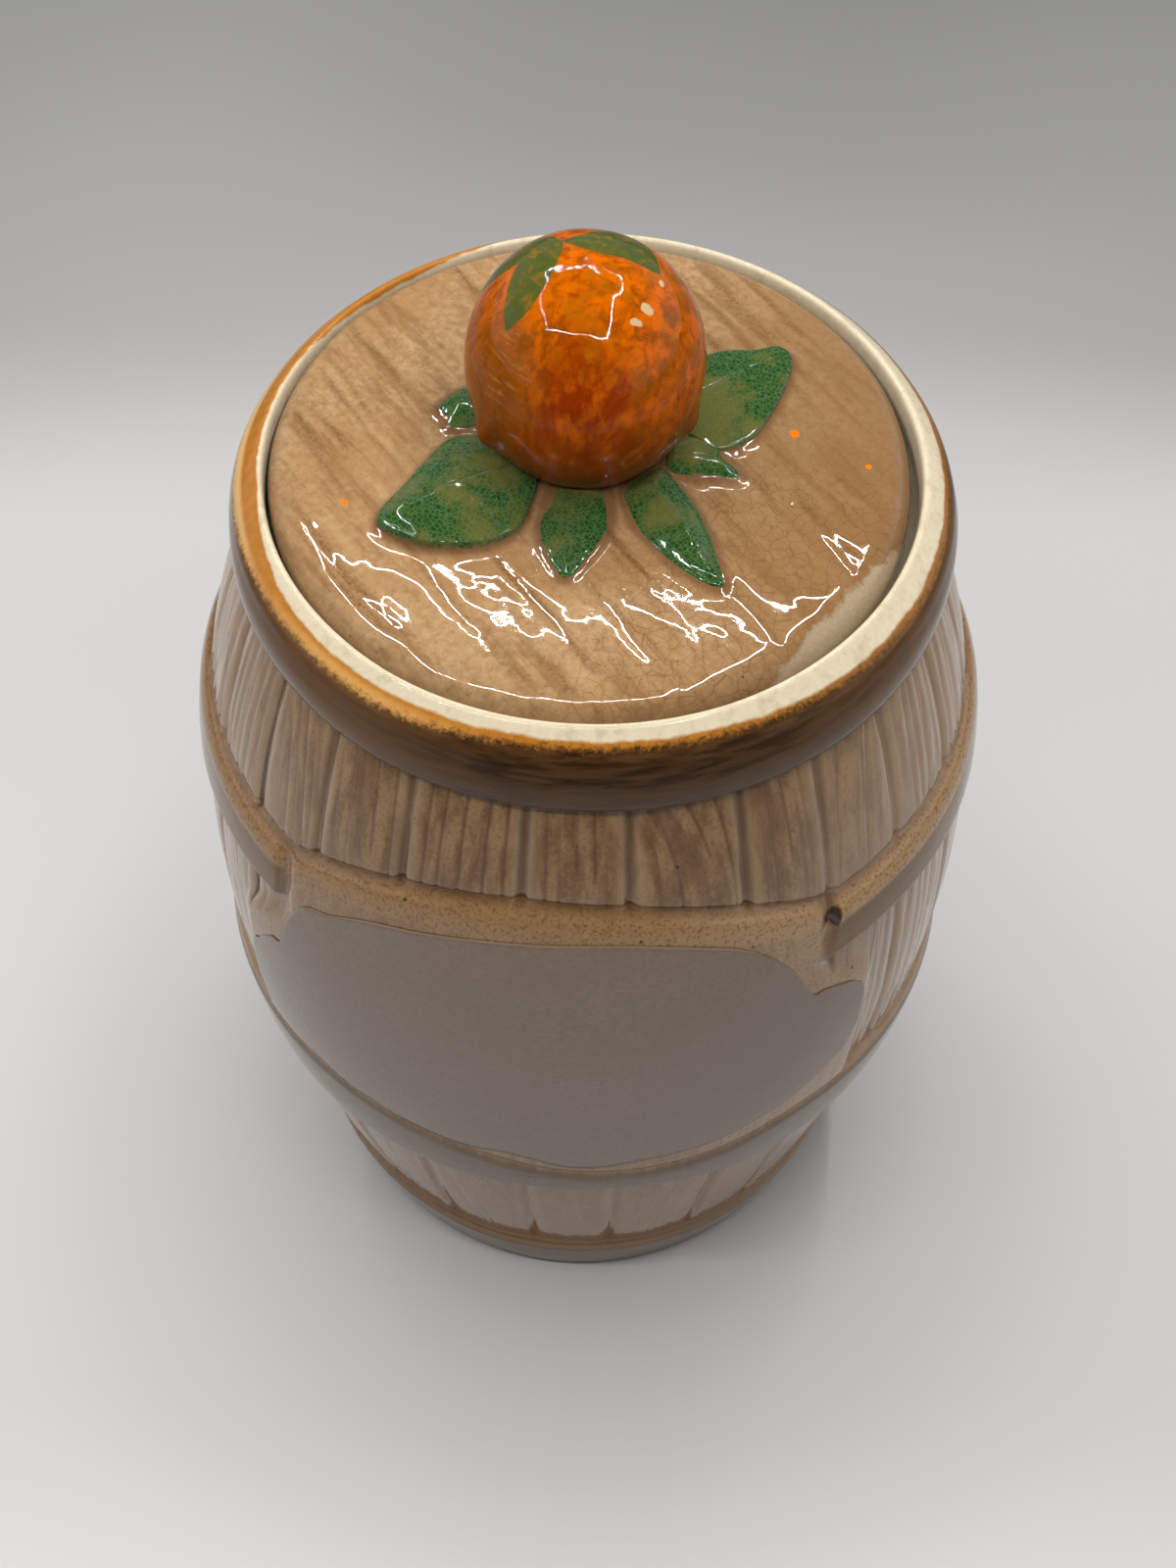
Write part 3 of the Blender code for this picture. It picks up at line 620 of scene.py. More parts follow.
def hoop_section(height, low, high, shoulder):
    """Section of a hoop: a short foot, a flat face and a shoulder that rounds back to the staves."""
    turn = unit((height - high) / shoulder + 1.0)
    rise = ease((height - low) / HOOP_FOOT) * (1.0 - turn ** 2) ** 0.7
    return rise * (1.0 + 0.10 * np.sin(np.pi * unit((height - low) / (high - low))))


def skin_shape(angle, height, cut=0.0):
    """Rise of the outer skin over the barrel curve in mm, and where each finish lies."""
    grooves = groove_angles()
    around = wrapped(angle)
    away = np.full_like(angle, 1e9)
    across = np.zeros_like(angle)
    for start, end in zip(grooves, grooves[1:]):
        away = np.minimum(away, np.abs(wrapped(angle - start)))
        share = (angle - start) % 360.0 / (end - start)
        across = np.where(share < 1.0, share, across)
    away = np.radians(away) * barrel(height)
    uneven = 0.8 + 0.2 * noise(np.round(angle / 15.0) * 3.0, height / 9.0, 11)
    # The joints run out above the base hoop
    joint = uneven * peak(away, GROOVE_HALF) * (0.25 + 0.75 * ease((height - BASE_TOP) / 3.5))
    lip = peak(away - 1.0, 0.4)
    staves = STAVE_CROWN * (1.0 - (2.0 * across - 1.0) ** 2) - GROOVE_DEPTH * joint + GROOVE_LIP * lip - cut
    staves = staves + 0.10 * noise(angle / 24.0 + 20.0, height / 16.0, 21, 15)

    # Hoops
    base_top, low_line, high_line, upper_low, upper_top = hoop_lines(angle)
    base = hoop_section(height, -4.0, base_top, BASE_SHOULDER) * BASE_RISE
    lower = hoop_section(height, low_line, high_line, LOWER_SHOULDER) * LOWER_RISE
    left_end = ease((HOOP_END_LEFT - around - 0.25 * np.abs(height - 98.0)) / 2.4)
    right_end = part_way(HOOP_END_RIGHT_LOW, HOOP_END_RIGHT_HIGH, (height - 93.6) / 7.1)
    present = np.where(around < 0.0, left_end, ease((around - right_end) / 0.7))
    upper = hoop_section(height, upper_low, upper_top, UPPER_SHOULDER) * UPPER_RISE * present
    hoops = np.maximum(np.maximum(base, lower), upper)
    clear = 1.0 - ease(hoops / 0.4)

    # Panel with its ledge
    narrow = ease((height - 84.0) / 10.0)
    right = part_way(PANEL_RIGHT, PANEL_NARROW_RIGHT, narrow)
    left = part_way(PANEL_LEFT, PANEL_NARROW_LEFT, narrow)
    side = ease((right - around) / 3.5) * ease((around - left) / 3.5)
    below = upper_top - height
    ledge = np.sqrt(1.0 - (1.0 - unit(below / LEDGE_WIDTH)) ** 2)
    panel = side * ease(height - high_line + 1.2) * ease(below / 0.3)
    panel_rise = PANEL_RISE * ledge + 0.05 * noise(angle / 13.0 + 28.0, height / 14.0, 41, 28)
    front = ease((LEDGE_HALF + 1.0 - np.abs(around)) / 2.0)
    crease = peak(below, 0.7)
    bead = peak(height - high_line + 0.45, 0.35)
    rise = part_way(staves, panel_rise, panel) * clear + hoops
    rise = rise - LEDGE_CREASE * crease * (0.5 + 0.5 * front)
    rise = rise + 0.14 * bead + 0.08 * noise(angle / 40.0 + 9.0, height / 45.0, 51, 9)

    # Where each finish lies
    low_face = ease((height - low_line) / 0.5) * ease((high_line - 0.3 * LOWER_SHOULDER - height) / 0.9)
    high_face = ease((height - upper_low) / 0.5) * ease((upper_top - 0.9 * UPPER_SHOULDER - height) / 0.9)
    base_face = ease((base_top - 0.5 * BASE_SHOULDER - height) / 0.9)
    grey = unit(low_face + high_face * present + base_face)
    bare = clear * (1.0 - panel)
    feet = peak(height - low_line + 0.1, 0.4) + peak(height - upper_low + 0.1, 0.4) * present
    tops = peak(height - base_top - 0.1, 0.4) + peak(height - high_line - 0.2, 0.4)
    shade = 0.3 + 0.7 * ease((height - 48.0) / 40.0)
    pooled = (1.5 * joint + 1.7 * cut / STROKE_DEPTH) * shade * bare + 0.8 * crease
    pooled = pooled + 0.4 * feet + 0.3 * tops + 0.8 * peak(TOP_HOOP_CREASE - height, 0.9)
    # The two lower hoops are hardly honey-coloured
    share = 0.15 + 0.1 * ease((38.0 - height) / 8.0) + 0.85 * ease((height - BELLY_HEIGHT + 8.0) / 8.0)
    honey = ease(hoops / 0.35) * (1.0 - grey) * share
    honey = honey + panel * ease((LEDGE_WIDTH + 0.6 - below) / 1.2) + 0.5 * panel
    # The thin field is pale glaze on the groove lips and the lower hoop's bead, partly a painted highlight
    # along those edges
    finish = {"honey": honey, "pooled": pooled, "thin": 0.9 * lip * bare + 0.9 * bead}
    finish = {name: unit(values) for name, values in finish.items()}
    return rise, {"grey": grey, "panel": panel, **finish}


def around_points(angle, radius, height):
    """Points at angles round the jar's axis."""
    turn = np.radians(angle)
    return np.stack((radius * np.sin(turn), -radius * np.cos(turn), height), axis=-1)


def build_jar_skin(look, rim_height):
    """Whole jar as one closed skin: base, staves, hoops, panel, rim, mouth and inside."""
    angle, height, cut = skin_grid()
    rise, finish = skin_shape(angle, height, cut)
    finish["grain"] = np.radians(stave_layout()[0]) * BELLY_RADIUS + 0.0 * height
    blot = np.hypot(np.radians(wrapped(angle) - BLOT_PLACE[0]) * BELLY_RADIUS, height - BLOT_PLACE[1])
    rise = rise + 0.3 * peak(blot, BLOT_SIZE)
    radius = barrel(height) + rise - unit(1.0 - height / 1.2) ** 2
    top_angle = angle[-1]

    # Rim with a wave round it and a ripple on its hoop
    steps = np.arange(len(RIM_LINE))
    smooth = np.linspace(0.0, len(RIM_LINE) - 1.0, RIM_ROWS)
    rim_radius, rim_drop = [smooth_line(smooth, np.stack((steps, line), axis=1))[:, None]
                            for line in np.array(RIM_LINE).T]
    wave = 0.12 * noise(top_angle / 24.0, top_angle * 0.0, 61, 15)
    ripple = 0.10 * noise(top_angle / 15.0, smooth[:, None] / 4.0, 71, 24)
    ripple = ripple * ease((rim_drop - 0.8) / 1.5) * (smooth[:, None] < 11)
    rim_z = rim_height - rim_drop + RIM_LIFT * ease((rim_height - rim_drop - TOP_HOOP_CREASE) / 5.0)
    in_r, in_drop = np.array(INSIDE_LINE).T[:, :, None] + 0.0 * top_angle
    # The mouth is a little narrower at the front and the right
    narrower, to_right, to_front = MOUTH_SHIFT
    turn = np.radians(top_angle)
    narrowing = narrower + to_right * np.sin(turn) + to_front * np.cos(turn)
    rim_r = rim_radius + wave + ripple - narrowing * ease((39.6 - rim_radius) / 2.2)
    in_r = in_r - narrowing * ease((in_r - 34.0) / 2.0)

    # The base has a shallow recess inside its foot
    base_r, base_z = np.array(BASE_RINGS).T[:, :, None] + 0.0 * top_angle
    grid_r = np.concatenate((radius[:1] - base_r, radius, rim_r, in_r))
    grid_z = np.concatenate((base_z, height, rim_z + 0.0 * wave, rim_height - in_drop))
    extra = ((len(BASE_RINGS), RIM_ROWS + len(INSIDE_LINE)), (0, 0))
    points = around_points(np.pad(angle, extra, mode="edge"), grid_r, grid_z)

    # Way over the rim in mm, outwards from its highest line
    length = np.hypot(np.diff(rim_radius[:, 0]), np.diff(rim_drop[:, 0]))
    from_mouth = np.append(np.cumsum(length[::-1])[::-1], 0.0)
    from_crest = from_mouth - from_mouth[np.argmin(rim_drop)]
    way = [WAY_BASE] * len(BASE_RINGS) + [WAY_SKIN] * len(height) + list(from_crest)
    way += [WAY_INSIDE] * len(INSIDE_LINE)
    fields = {name: (np.pad(values, extra), 0.0, 0.0) for name, values in finish.items()}
    fields["way"] = (np.repeat(way, len(top_angle)), WAY_BASE, WAY_INSIDE)
    ends = ((0.0, 0.0, grid_z[0, 0]), (0.0, 0.0, grid_z[-1, 0]))
    make_skin("jar_body", points, ends, fields, look, "jar")


def closed_curve(points, count):
    """Smooth closed curve through points, evenly spaced."""
    corners = np.array(points, float)
    number = len(corners)
    t = np.arange(0.0, number, 0.02)
    i = np.floor(t).astype(int)
    f = (t - i)[:, None]
    p0, p1, p2, p3 = (corners[(i + k) % number] for k in (-1, 0, 1, 2))
    curve = 0.5 * (2 * p1 + (p2 - p0) * f + (2 * p0 - 5 * p1 + 4 * p2 - p3) * f ** 2 +
                   (3 * p1 - p0 - 3 * p2 + p3) * f ** 3)
    step = np.linalg.norm(np.roll(curve, -1, axis=0) - curve, axis=1)
    way = np.concatenate(([0.0], np.cumsum(step)))
    places = np.linspace(0.0, way[-1], count, endpoint=False)
    ring = np.concatenate((curve, curve[:1]))
    return np.stack([np.interp(places, way, part) for part in ring.T], axis=1)


def inside_curves(x, y, outlines, shift=0.0):
    """Distance in from the edge of the nearest smooth closed outline, negative outside them all."""
    deepest = np.full_like(x, -99.0)
    for outline in outlines:
        curve = closed_curve(outline, OUTLINE_POINTS) + shift
        nearest = np.full_like(x, 1e9)
        inside = np.zeros(x.shape, bool)
        for (ax, ay), (bx, by) in zip(curve, np.roll(curve, -1, axis=0)):
            nearest = np.minimum(nearest, (x - ax) ** 2 + (y - ay) ** 2)
            if ay != by:
                inside ^= ((y < ay) != (y < by)) & (x < ax + (y - ay) * (bx - ax) / (by - ay))
        deepest = np.maximum(deepest, np.sqrt(nearest) * np.where(inside, 1.0, -1.0))
    return deepest


def build_label(look):
    """Thin fired film on the panel, closed, with its own edge."""
    angles = np.concatenate((np.linspace(-51.6, -46.0, 18)[:-1], np.linspace(-46.0, 44.0, 150)[:-1],
                             np.linspace(44.0, 48.8, 16)))
    low = smooth_line(angles, LABEL_BOTTOM_LINE)
    tall = smooth_line(angles, LABEL_TOP_LINE) - low
    share = np.linspace(0.0, 1.0, LABEL_ROWS)[:, None]
    height = low + tall * share
    angle = np.broadcast_to(angles, height.shape)
    base = barrel(height) + skin_shape(angle, height)[0]
    points = np.concatenate([around_points(angle, base + lift, height).reshape(-1, 3)
                             for lift in (LABEL_LIFT, LABEL_LIFT + LABEL_FILM)])
    rows, columns = height.shape
    total = rows * columns
    faces = grid_faces(rows, columns, False, total)
    faces += [face[::-1] for face in grid_faces(rows, columns, False)]
    order = np.arange(total).reshape(rows, columns)
    rim = np.concatenate((order[0], order[1:, -1], order[-1, -2::-1], order[-2:0:-1, 0])).tolist()
    faces += [(a, b, b + total, a + total) for a, b in zip(rim, rim[1:] + rim[:1])]
    edge = np.tile((np.minimum(share, 1.0 - share) * tall).reshape(-1), 2)
    make_piece("label_film", points, faces, {"edge": edge}, look, "jar", ["label_transfer"])


def lid_dome(x, y, radius):
    """Height of the lid's crowned top over the frame's flat one, in mm, round its axis."""
    return LID_RISE - LID_DOME * ((x ** 2 + y ** 2) / radius ** 2) ** 2


def lid_relief(x, y, radius):
    """Height of the lid's upper side over its flat in mm, and how brown its strokes are, round its axis."""
    turn = math.radians(PLANK_DIRECTION)
    along = x * math.cos(turn) + y * math.sin(turn)
    across = -x * math.sin(turn) + y * math.cos(turn)
    bend = 0.6 * noise(along / 14.0, across / 8.0, 81) + 0.25 * noise(along / 5.0, across / 4.0, 82)
    cut = np.zeros_like(x)
    stain = np.zeros_like(x)
    for k, offset in enumerate(PLANK_OFFSETS):
        away = across + bend - offset
        fade = 0.55 + 0.45 * noise(along / 11.0 + 3.0 * k, 0.0 * along, 83)
        cut += PLANK_GROOVE * fade * peak(away, 0.8)
        stain += 1.1 * fade * peak(away, 0.45)
    chance = np.random.default_rng(LID_SEED)
    for _ in range(LID_STROKES):
        offset = chance.uniform(-37.0, 37.0)
        start = chance.uniform(-44.0, 20.0)
        end = start + chance.uniform(8.0, 30.0)
        depth = chance.uniform(0.2, 1.0)
        half = chance.uniform(0.25, 0.5)
        path = offset + bend + chance.uniform(-0.05, 0.05) * along
        reach = ease((along - start) / 5.0) * ease((end - along) / 5.0)
        mark = depth * reach * peak(across - path, half)
        cut += STROKE_CUT * mark
        stain += 1.1 * mark
    # The small waves are stronger towards the edge
    outward = 1.0 + (x ** 2 + y ** 2) / radius ** 2
    waves = 0.05 * noise(x / 7.0, y / 7.0, 91) + 0.045 * outward * noise(along / 5.0, across / 2.6, 92)
    waves = waves + 0.010 * outward * noise(along / 1.9, across / 1.4, 93)
    return lid_dome(x, y, radius) - cut + waves, unit(stain)


def build_lid(look, low, high, knob):
    """Lid as one closed turned skin with plank joints and a rounded edge."""
    centre = (low[:2] + high[:2]) / 2.0 + LID_ASIDE
    radius = (high[0] - low[0]) / 2.0 + LID_GROWTH
    turn = 2.0 * np.pi * np.arange(LID_COLUMNS) / LID_COLUMNS
    # The rounded edge is fuller at the front than at the back
    edge_round = LID_EDGE_ROUND - LID_EDGE_FULLER * np.sin(turn)
    flat_radius = radius - edge_round
    edge_turn = np.radians(np.linspace(6.0, 90.0, LID_EDGE_RINGS))[:, None]
    inner = np.linspace(0.02, 1.0, LID_RINGS)[:, None]
    r = np.concatenate((inner * flat_radius, flat_radius + edge_round * np.sin(edge_turn)))
    drop = np.concatenate((0.0 * inner * flat_radius, 0.85 * edge_round * (1.0 - np.cos(edge_turn))))
    wobble = 0.16 * noise(turn * 12.0 / math.tau, turn * 0.0, 95, 12)
    r = r + wobble * ease((r - 25.0) / 8.0) - 0.16 * ease((r - 30.0) / 4.0)
    x = r * np.cos(turn)
    y = r * np.sin(turn)
    relief, cut = lid_relief(x, y, radius)
    # The clay swells up to each leaf's foot, and the brown round each foot is pooled glaze and painted shade
    beside = inside_curves(x, y, [leaf[0] for leaf in LEAVES.values()], knob - centre)
    relief = relief + LEAF_FILLET * peak(np.minimum(beside, 0.0), 0.7)
    fade = 1.0 - ease((r - flat_radius) / (0.8 * edge_round))
    dome = lid_dome(x, y, radius)
    z = high[2] + dome + (relief - dome) * (0.25 + 0.75 * fade) - drop
    under = ((radius - 0.15, low[2] + 0.9), (radius - 0.9, low[2]), (radius - 6.0, low[2]),
             (3.0, low[2] + LID_HOLLOW))
    under_r, under_z = np.array(under).T[:, :, None] + 0.0 * turn
    grid = np.stack((np.concatenate((x, under_r * np.cos(turn))) + centre[0],
                     np.concatenate((y, under_r * np.sin(turn))) + centre[1],
                     np.concatenate((z, under_z))), axis=-1)
    ends = ((*centre, z[0].mean()), (*centre, low[2] + LID_HOLLOW))
    fields = {"cut": (cut * fade, 0.0), "reach": (r / radius, 1.2), "beside": (beside, -99.0)}
    for name, (values, rest) in fields.items():
        whole = np.concatenate((values, np.full(under_r.shape, rest)))
        fields[name] = (whole, values[0].mean(), rest)
    make_skin("lid_plate", grid, ends, fields, look, "lid", flip=True)


def build_orange(look, low, high):
    """Orange knob as one closed form with small lumps and painted leaves."""
    centre = (low[:2] + high[:2]) / 2.0
    radius = (high[0] - low[0]) / 2.0
    tall = KNOB_TALL * radius
    middle = high[2] - tall
    foot = low[2] - KNOB_SUNK
    azimuth = 360.0 * np.arange(KNOB_COLUMNS) / KNOB_COLUMNS - 180.0
    a, p = np.meshgrid(azimuth, np.linspace(1.2, 174.0, KNOB_ROWS))
    swell = 0.10 * noise(a / 40.0 + 9.0, p / 30.0, 101, 9) + 0.04 * noise(a / 15.0 + 12.0, p / 14.0, 102, 24)
    # A soft nub stands out low down at either side
    for nub_a, nub_p, rise in KNOB_NUBS:
        away = np.hypot(wrapped(a - nub_a) * np.sin(np.radians(p)), (p - nub_p) * 0.8)
        swell = swell + rise * peak(away, 6.5)
    out = radius + swell * ease(p / 12.0) - 0.12
    turn = np.radians(a)
    down = np.radians(p)
    flare = 1.0 + 0.05 * ease((p - 128.0) / 20.0)
    x = centre[0] + out * np.sin(down) * np.sin(turn) * flare
    y = centre[1] - out * np.sin(down) * np.cos(turn) * flare
    z = np.maximum(middle + (tall / radius) * (out - 0.1) * np.cos(down), foot)
    # The paint lies on a plane round the crown, in degrees
    side = wrapped(a - PAINT_TURN)
    u = p * np.sin(np.radians(side))
    v = -p * np.cos(np.radians(side))
    bare = np.full_like(a, -9.0)
    for spot_u, spot_v, wide, long in BARE_SPOTS:
        bare = np.maximum(bare, 1.0 - np.hypot((u - spot_u) / wide, (v - spot_v) / long))
    fields = {"leaf": inside_curves(u, v, PAINTED_LEAVES), "bare": bare, "polar": p, "side": side}
    fields = {name: (values, values[0, 0], values[-1, 0]) for name, values in fields.items()}
    ends = ((*centre, high[2] - 0.15), (*centre, foot))
    grid = np.stack((x, y, z), axis=-1)
    make_skin("orange_knob", grid, ends, fields, look, "lid", flip=True)


def build_leaf(name, look, knob, ground, lid_radius):
    """One relief leaf: side wall, rounded edge and a face with a midrib."""
    outline, root, tip, edge, crown, rib, lumps = LEAVES[name]
    line = closed_curve(outline, LEAF_COLUMNS)
    root, tip = np.array(root), np.array(tip)
    axis = tip - root
    t = np.clip(((line - root) @ axis) / np.linalg.norm(axis) ** 2, 0.02, 0.98)
    spine = root + t[:, None] * axis
    gap = np.linalg.norm(line - spine, axis=1)
    seed = sum(map(ord, name))
    tall = edge * (0.72 + 0.28 * t)
    toward = (spine - line) / gap[:, None]
    rings = [(line + toward * inward, tall * share, np.full_like(t, inward)) for inward, share in LEAF_WALL]
    base = line + toward * 0.5
    for step in np.linspace(0.0, 1.0, LEAF_RINGS)[1:]:
        ring = base + (spine - base) * step
        swell = crown * np.sin(0.5 * np.pi * step) * (0.55 + 0.45 * np.sin(np.pi * np.clip(t, 0.1, 0.95)))
        lump = lumps * noise(ring[:, 0] / 2.0, ring[:, 1] / 2.0, seed)
        height = tall + swell - rib * peak(1.0 - step, 0.16) + lump * math.sin(math.pi * min(step, 0.5))
        rings.append((ring, height, 0.5 + (gap - 0.5) * step))
    flat, heights, inward = (np.array(part) for part in zip(*rings))
    x, y = np.moveaxis(flat + knob, -1, 0)
    grid = np.stack((x, y, ground + lid_dome(x, y, lid_radius) + heights), axis=-1)
    # The end points close the underside and the slit over the spine
    ends = ((*((root + tip) / 2.0 + knob), ground - 0.4 * edge), grid[-1].mean(axis=0))
    fields = {"inward": (inward, -0.3, 3.0), "along": (np.tile(t, len(rings)), 0.5, 0.5)}
    make_skin(name, grid, ends, fields, look, "lid")


def grain_lines(look):
    """Wood grain that follows the carved strokes, 0 to 1."""
    place = look.add("ShaderNodeCombineXYZ", 0, {0: look.field("grain") * 0.34, 1: look.z * 0.045})
    smooth = look.math("MAXIMUM", look.field("panel"), look.field("honey"))
    carved = 1.0 - look.math("MAXIMUM", smooth, look.field("grey"))
    carved = carved * (look.z.between(50.0, 100.0) * 0.5 + 0.5)
    return look.clouds(place, 2.0, 0.5, 0.35).between(0.46, 0.62) * carved


def stave_colour(look, mottle, grain):
    """Tan glaze of staves and panel: streaked, pooled brown in hollows, thin and pale on edges with a painted
    highlight there too, and painted paler light round both sides.
    """
    streak = look.noise((0.62, 0.62, 0.04), 3.0, 0.55)
    broad = look.noise((0.07, 0.07, 0.05), 2.0, 0.5, 9.0)
    fine = look.noise((2.6, 2.6, 2.2), 2.0, 0.6, 7.0).between(0.5, 0.66)
    honey = look.coats(
        look.blend(mottle, (133, 98, 60), (170, 134, 91)),
        (look.x.between(4.0, 30.0) * 0.5, (188, 152, 108)),
        (fine * 0.65, (100, 66, 36)))
    pooled = look.math("MAXIMUM", look.field("pooled"), grain * 0.6) * (mottle * 0.5 + 0.45)
    # Painted light: both sides of the staves are painted paler, as light from the sides
    painted_side_light = abs(look.x).between(18.0, 47.0) * (1.0 - look.field("honey"))
    return look.coats(
        look.blend(streak.between(0.37, 0.62), (110, 76, 43), (152, 119, 80)),
        (mottle.between(0.4, 0.75) * 0.7, (152, 120, 86)),
        (fine * 0.5, (98, 66, 40)),
        (broad * 0.5, (124, 90, 58)),
        (look.field("honey") * 0.85, honey),
        (pooled, (83, 49, 25)),
        # Pale thin glaze on edges, partly a painted highlight
        (look.field("thin") * 0.5, (174, 146, 112)),
        (look.z.between(52.0, 42.0) * 0.55, (140, 98, 62)),
        (look.z.between(17.0, 14.0) * 0.7, (126, 101, 76)),
        (painted_side_light * 0.55, (182, 154, 126)))


def rim_colour(look, mottle, brushed):
    """Cream mouth, amber edge and dark brown top hoop, with painted reflection bands and painted lighter
    sides, by the way out over the rim.
    """
    x, y, way = look.x, look.y, look.field("way")
    right = x.between(6.0, 34.0)
    left = x.between(-8.0, -28.0) * y.between(-28.0, -6.0)
    back = y.between(4.0, 28.0)
    golden = x.between(-2.0, -20.0) * y.between(-18.0, -30.0)
    uneven = look.noise(0.35, 3.0, 0.6, 12.0) * 0.8 - 0.4
    fine = look.noise(1.7, 3.0, 0.7, 13.0) * 2.2 - 1.1
    grime = look.noise(0.5, 5.0, 0.7, 15.0).between(0.5, 0.7)
    cream = look.coats(
        look.blend(mottle, (190, 176, 146), (214, 202, 176)),
        (grime * 0.5, (170, 152, 120)))
    amber = look.coats(
        look.blend(look.noise(0.7, 4.0, 0.7, 14.0), (138, 80, 20), (190, 126, 46)),
        (left * way.between(2.2, 3.2), (206, 166, 112)),
        (right * 0.7, (132, 88, 44)),
        (golden * way.between(1.6, 2.6) * 0.65, (206, 158, 92)))
    brown = look.coats(
        look.blend(brushed.between(0.35, 0.65), (42, 25, 9), (78, 52, 28)),
        # Painted reflection: a paler band round the hoop's bulge, and a paler lower rounding
        (way.between(5.6, 6.4) * way.between(8.4, 7.4) * 0.6, (86, 60, 36)),
        (way.between(9.6, 10.8), (88, 68, 50)),
        # Painted light: both sides of the top hoop are painted lighter brown
        (x.between(-4.0, -24.0) * 0.6, (112, 78, 46)),
        (x.between(16.0, 40.0) * 0.55, (112, 80, 48)))
    dark = way + fine - left * 1.7 - golden * 0.9 - right * 0.5 - back * 1.6 + y.between(-18.0, -34.0) * 0.5
    edge = way + uneven - right * 0.9 + left * 1.5 + back * (1.0 - right)
    outer = look.blend(dark.between(2.1, 3.2), amber, brown)
    return look.blend(edge.between(1.35, 1.75), cream, outer)


def tan_glaze_look():
    """Speckled tan glaze of the jar, with brown hoops, an amber rim and a cream inside."""
    look = Look("tan_glaze_fired")
    z, way, on_hoop = look.z, look.field("way"), look.field("grey")
    mottle = look.noise((1.6, 1.6, 1.3), 4.0, 0.65, 5.0)
    brushed = look.noise((0.18, 0.18, 1.5), 4.0, 0.6, 3.0)
    grain = grain_lines(look)
    on_base, on_rim = z.between(14.0, 11.0), way.between(17.0, 15.5)
    hoop = look.coats(
        look.blend(brushed, (96, 70, 48), (126, 98, 72)),
        (z.between(75.0, 60.0), look.blend(brushed, (97, 84, 73), (122, 109, 98))),
        (on_base, (96, 75, 54)))
    blot = around_points(BLOT_PLACE[0], barrel(BLOT_PLACE[1]) + UPPER_RISE, BLOT_PLACE[1])
    blot = look.spot(blot, (BLOT_SIZE, 1.6, 1.5 * BLOT_SIZE))
    base = look.coats(
        stave_colour(look, mottle, grain),
        (on_hoop * 0.85, hoop),
        (look.specks(0.75, 0.15, 4.0) * 0.4, (92, 60, 36)),
        (look.specks(5.5, 0.055, 8.0) * 0.9, (44, 28, 18)),
        (on_rim, rim_colour(look, mottle, brushed)),
        (blot * 0.92, (44, 29, 18)),
        (way.between(120.0, 180.0), (206, 190, 166)))
    rough = look.noise(2.2, 3.0, 0.6, 21.0)
    bumps = ((look.noise(*SWELL), SWELL_DEPTH), (1.0 - grain, GRAIN_DEPTH), (rough, 0.006))
    mirror = 0.5 - on_rim * 0.34 - on_base * 0.15 - on_hoop * 0.3
    return look.finish(base, mottle * 0.08 + 0.05, bumps, mirror=mirror)


def label_look():
    """Bare grey-brown film of the label."""
    look = Look("label_ground_fired")
    mottle = look.noise(1.4, 4.0, 0.6, 31.0)
    base = look.coats(
        look.blend(mottle.between(0.3, 0.7), (116, 98, 84), (132, 113, 98)),
        (look.noise(0.10, 2.0, 0.5, 33.0), (119, 100, 86)),
        (look.x.between(8.0, 32.0) * 0.5, (106, 89, 76)),
        (look.specks(4.2, 0.045, 35.0) * 0.6, (92, 74, 62)),
        (look.field("edge").between(0.5, 0.0) * 0.4, (138, 112, 88)))
    return look.finish(base, mottle * 0.08 + 0.08, ((look.noise(*SWELL), SWELL_DEPTH), (mottle, 0.005)))


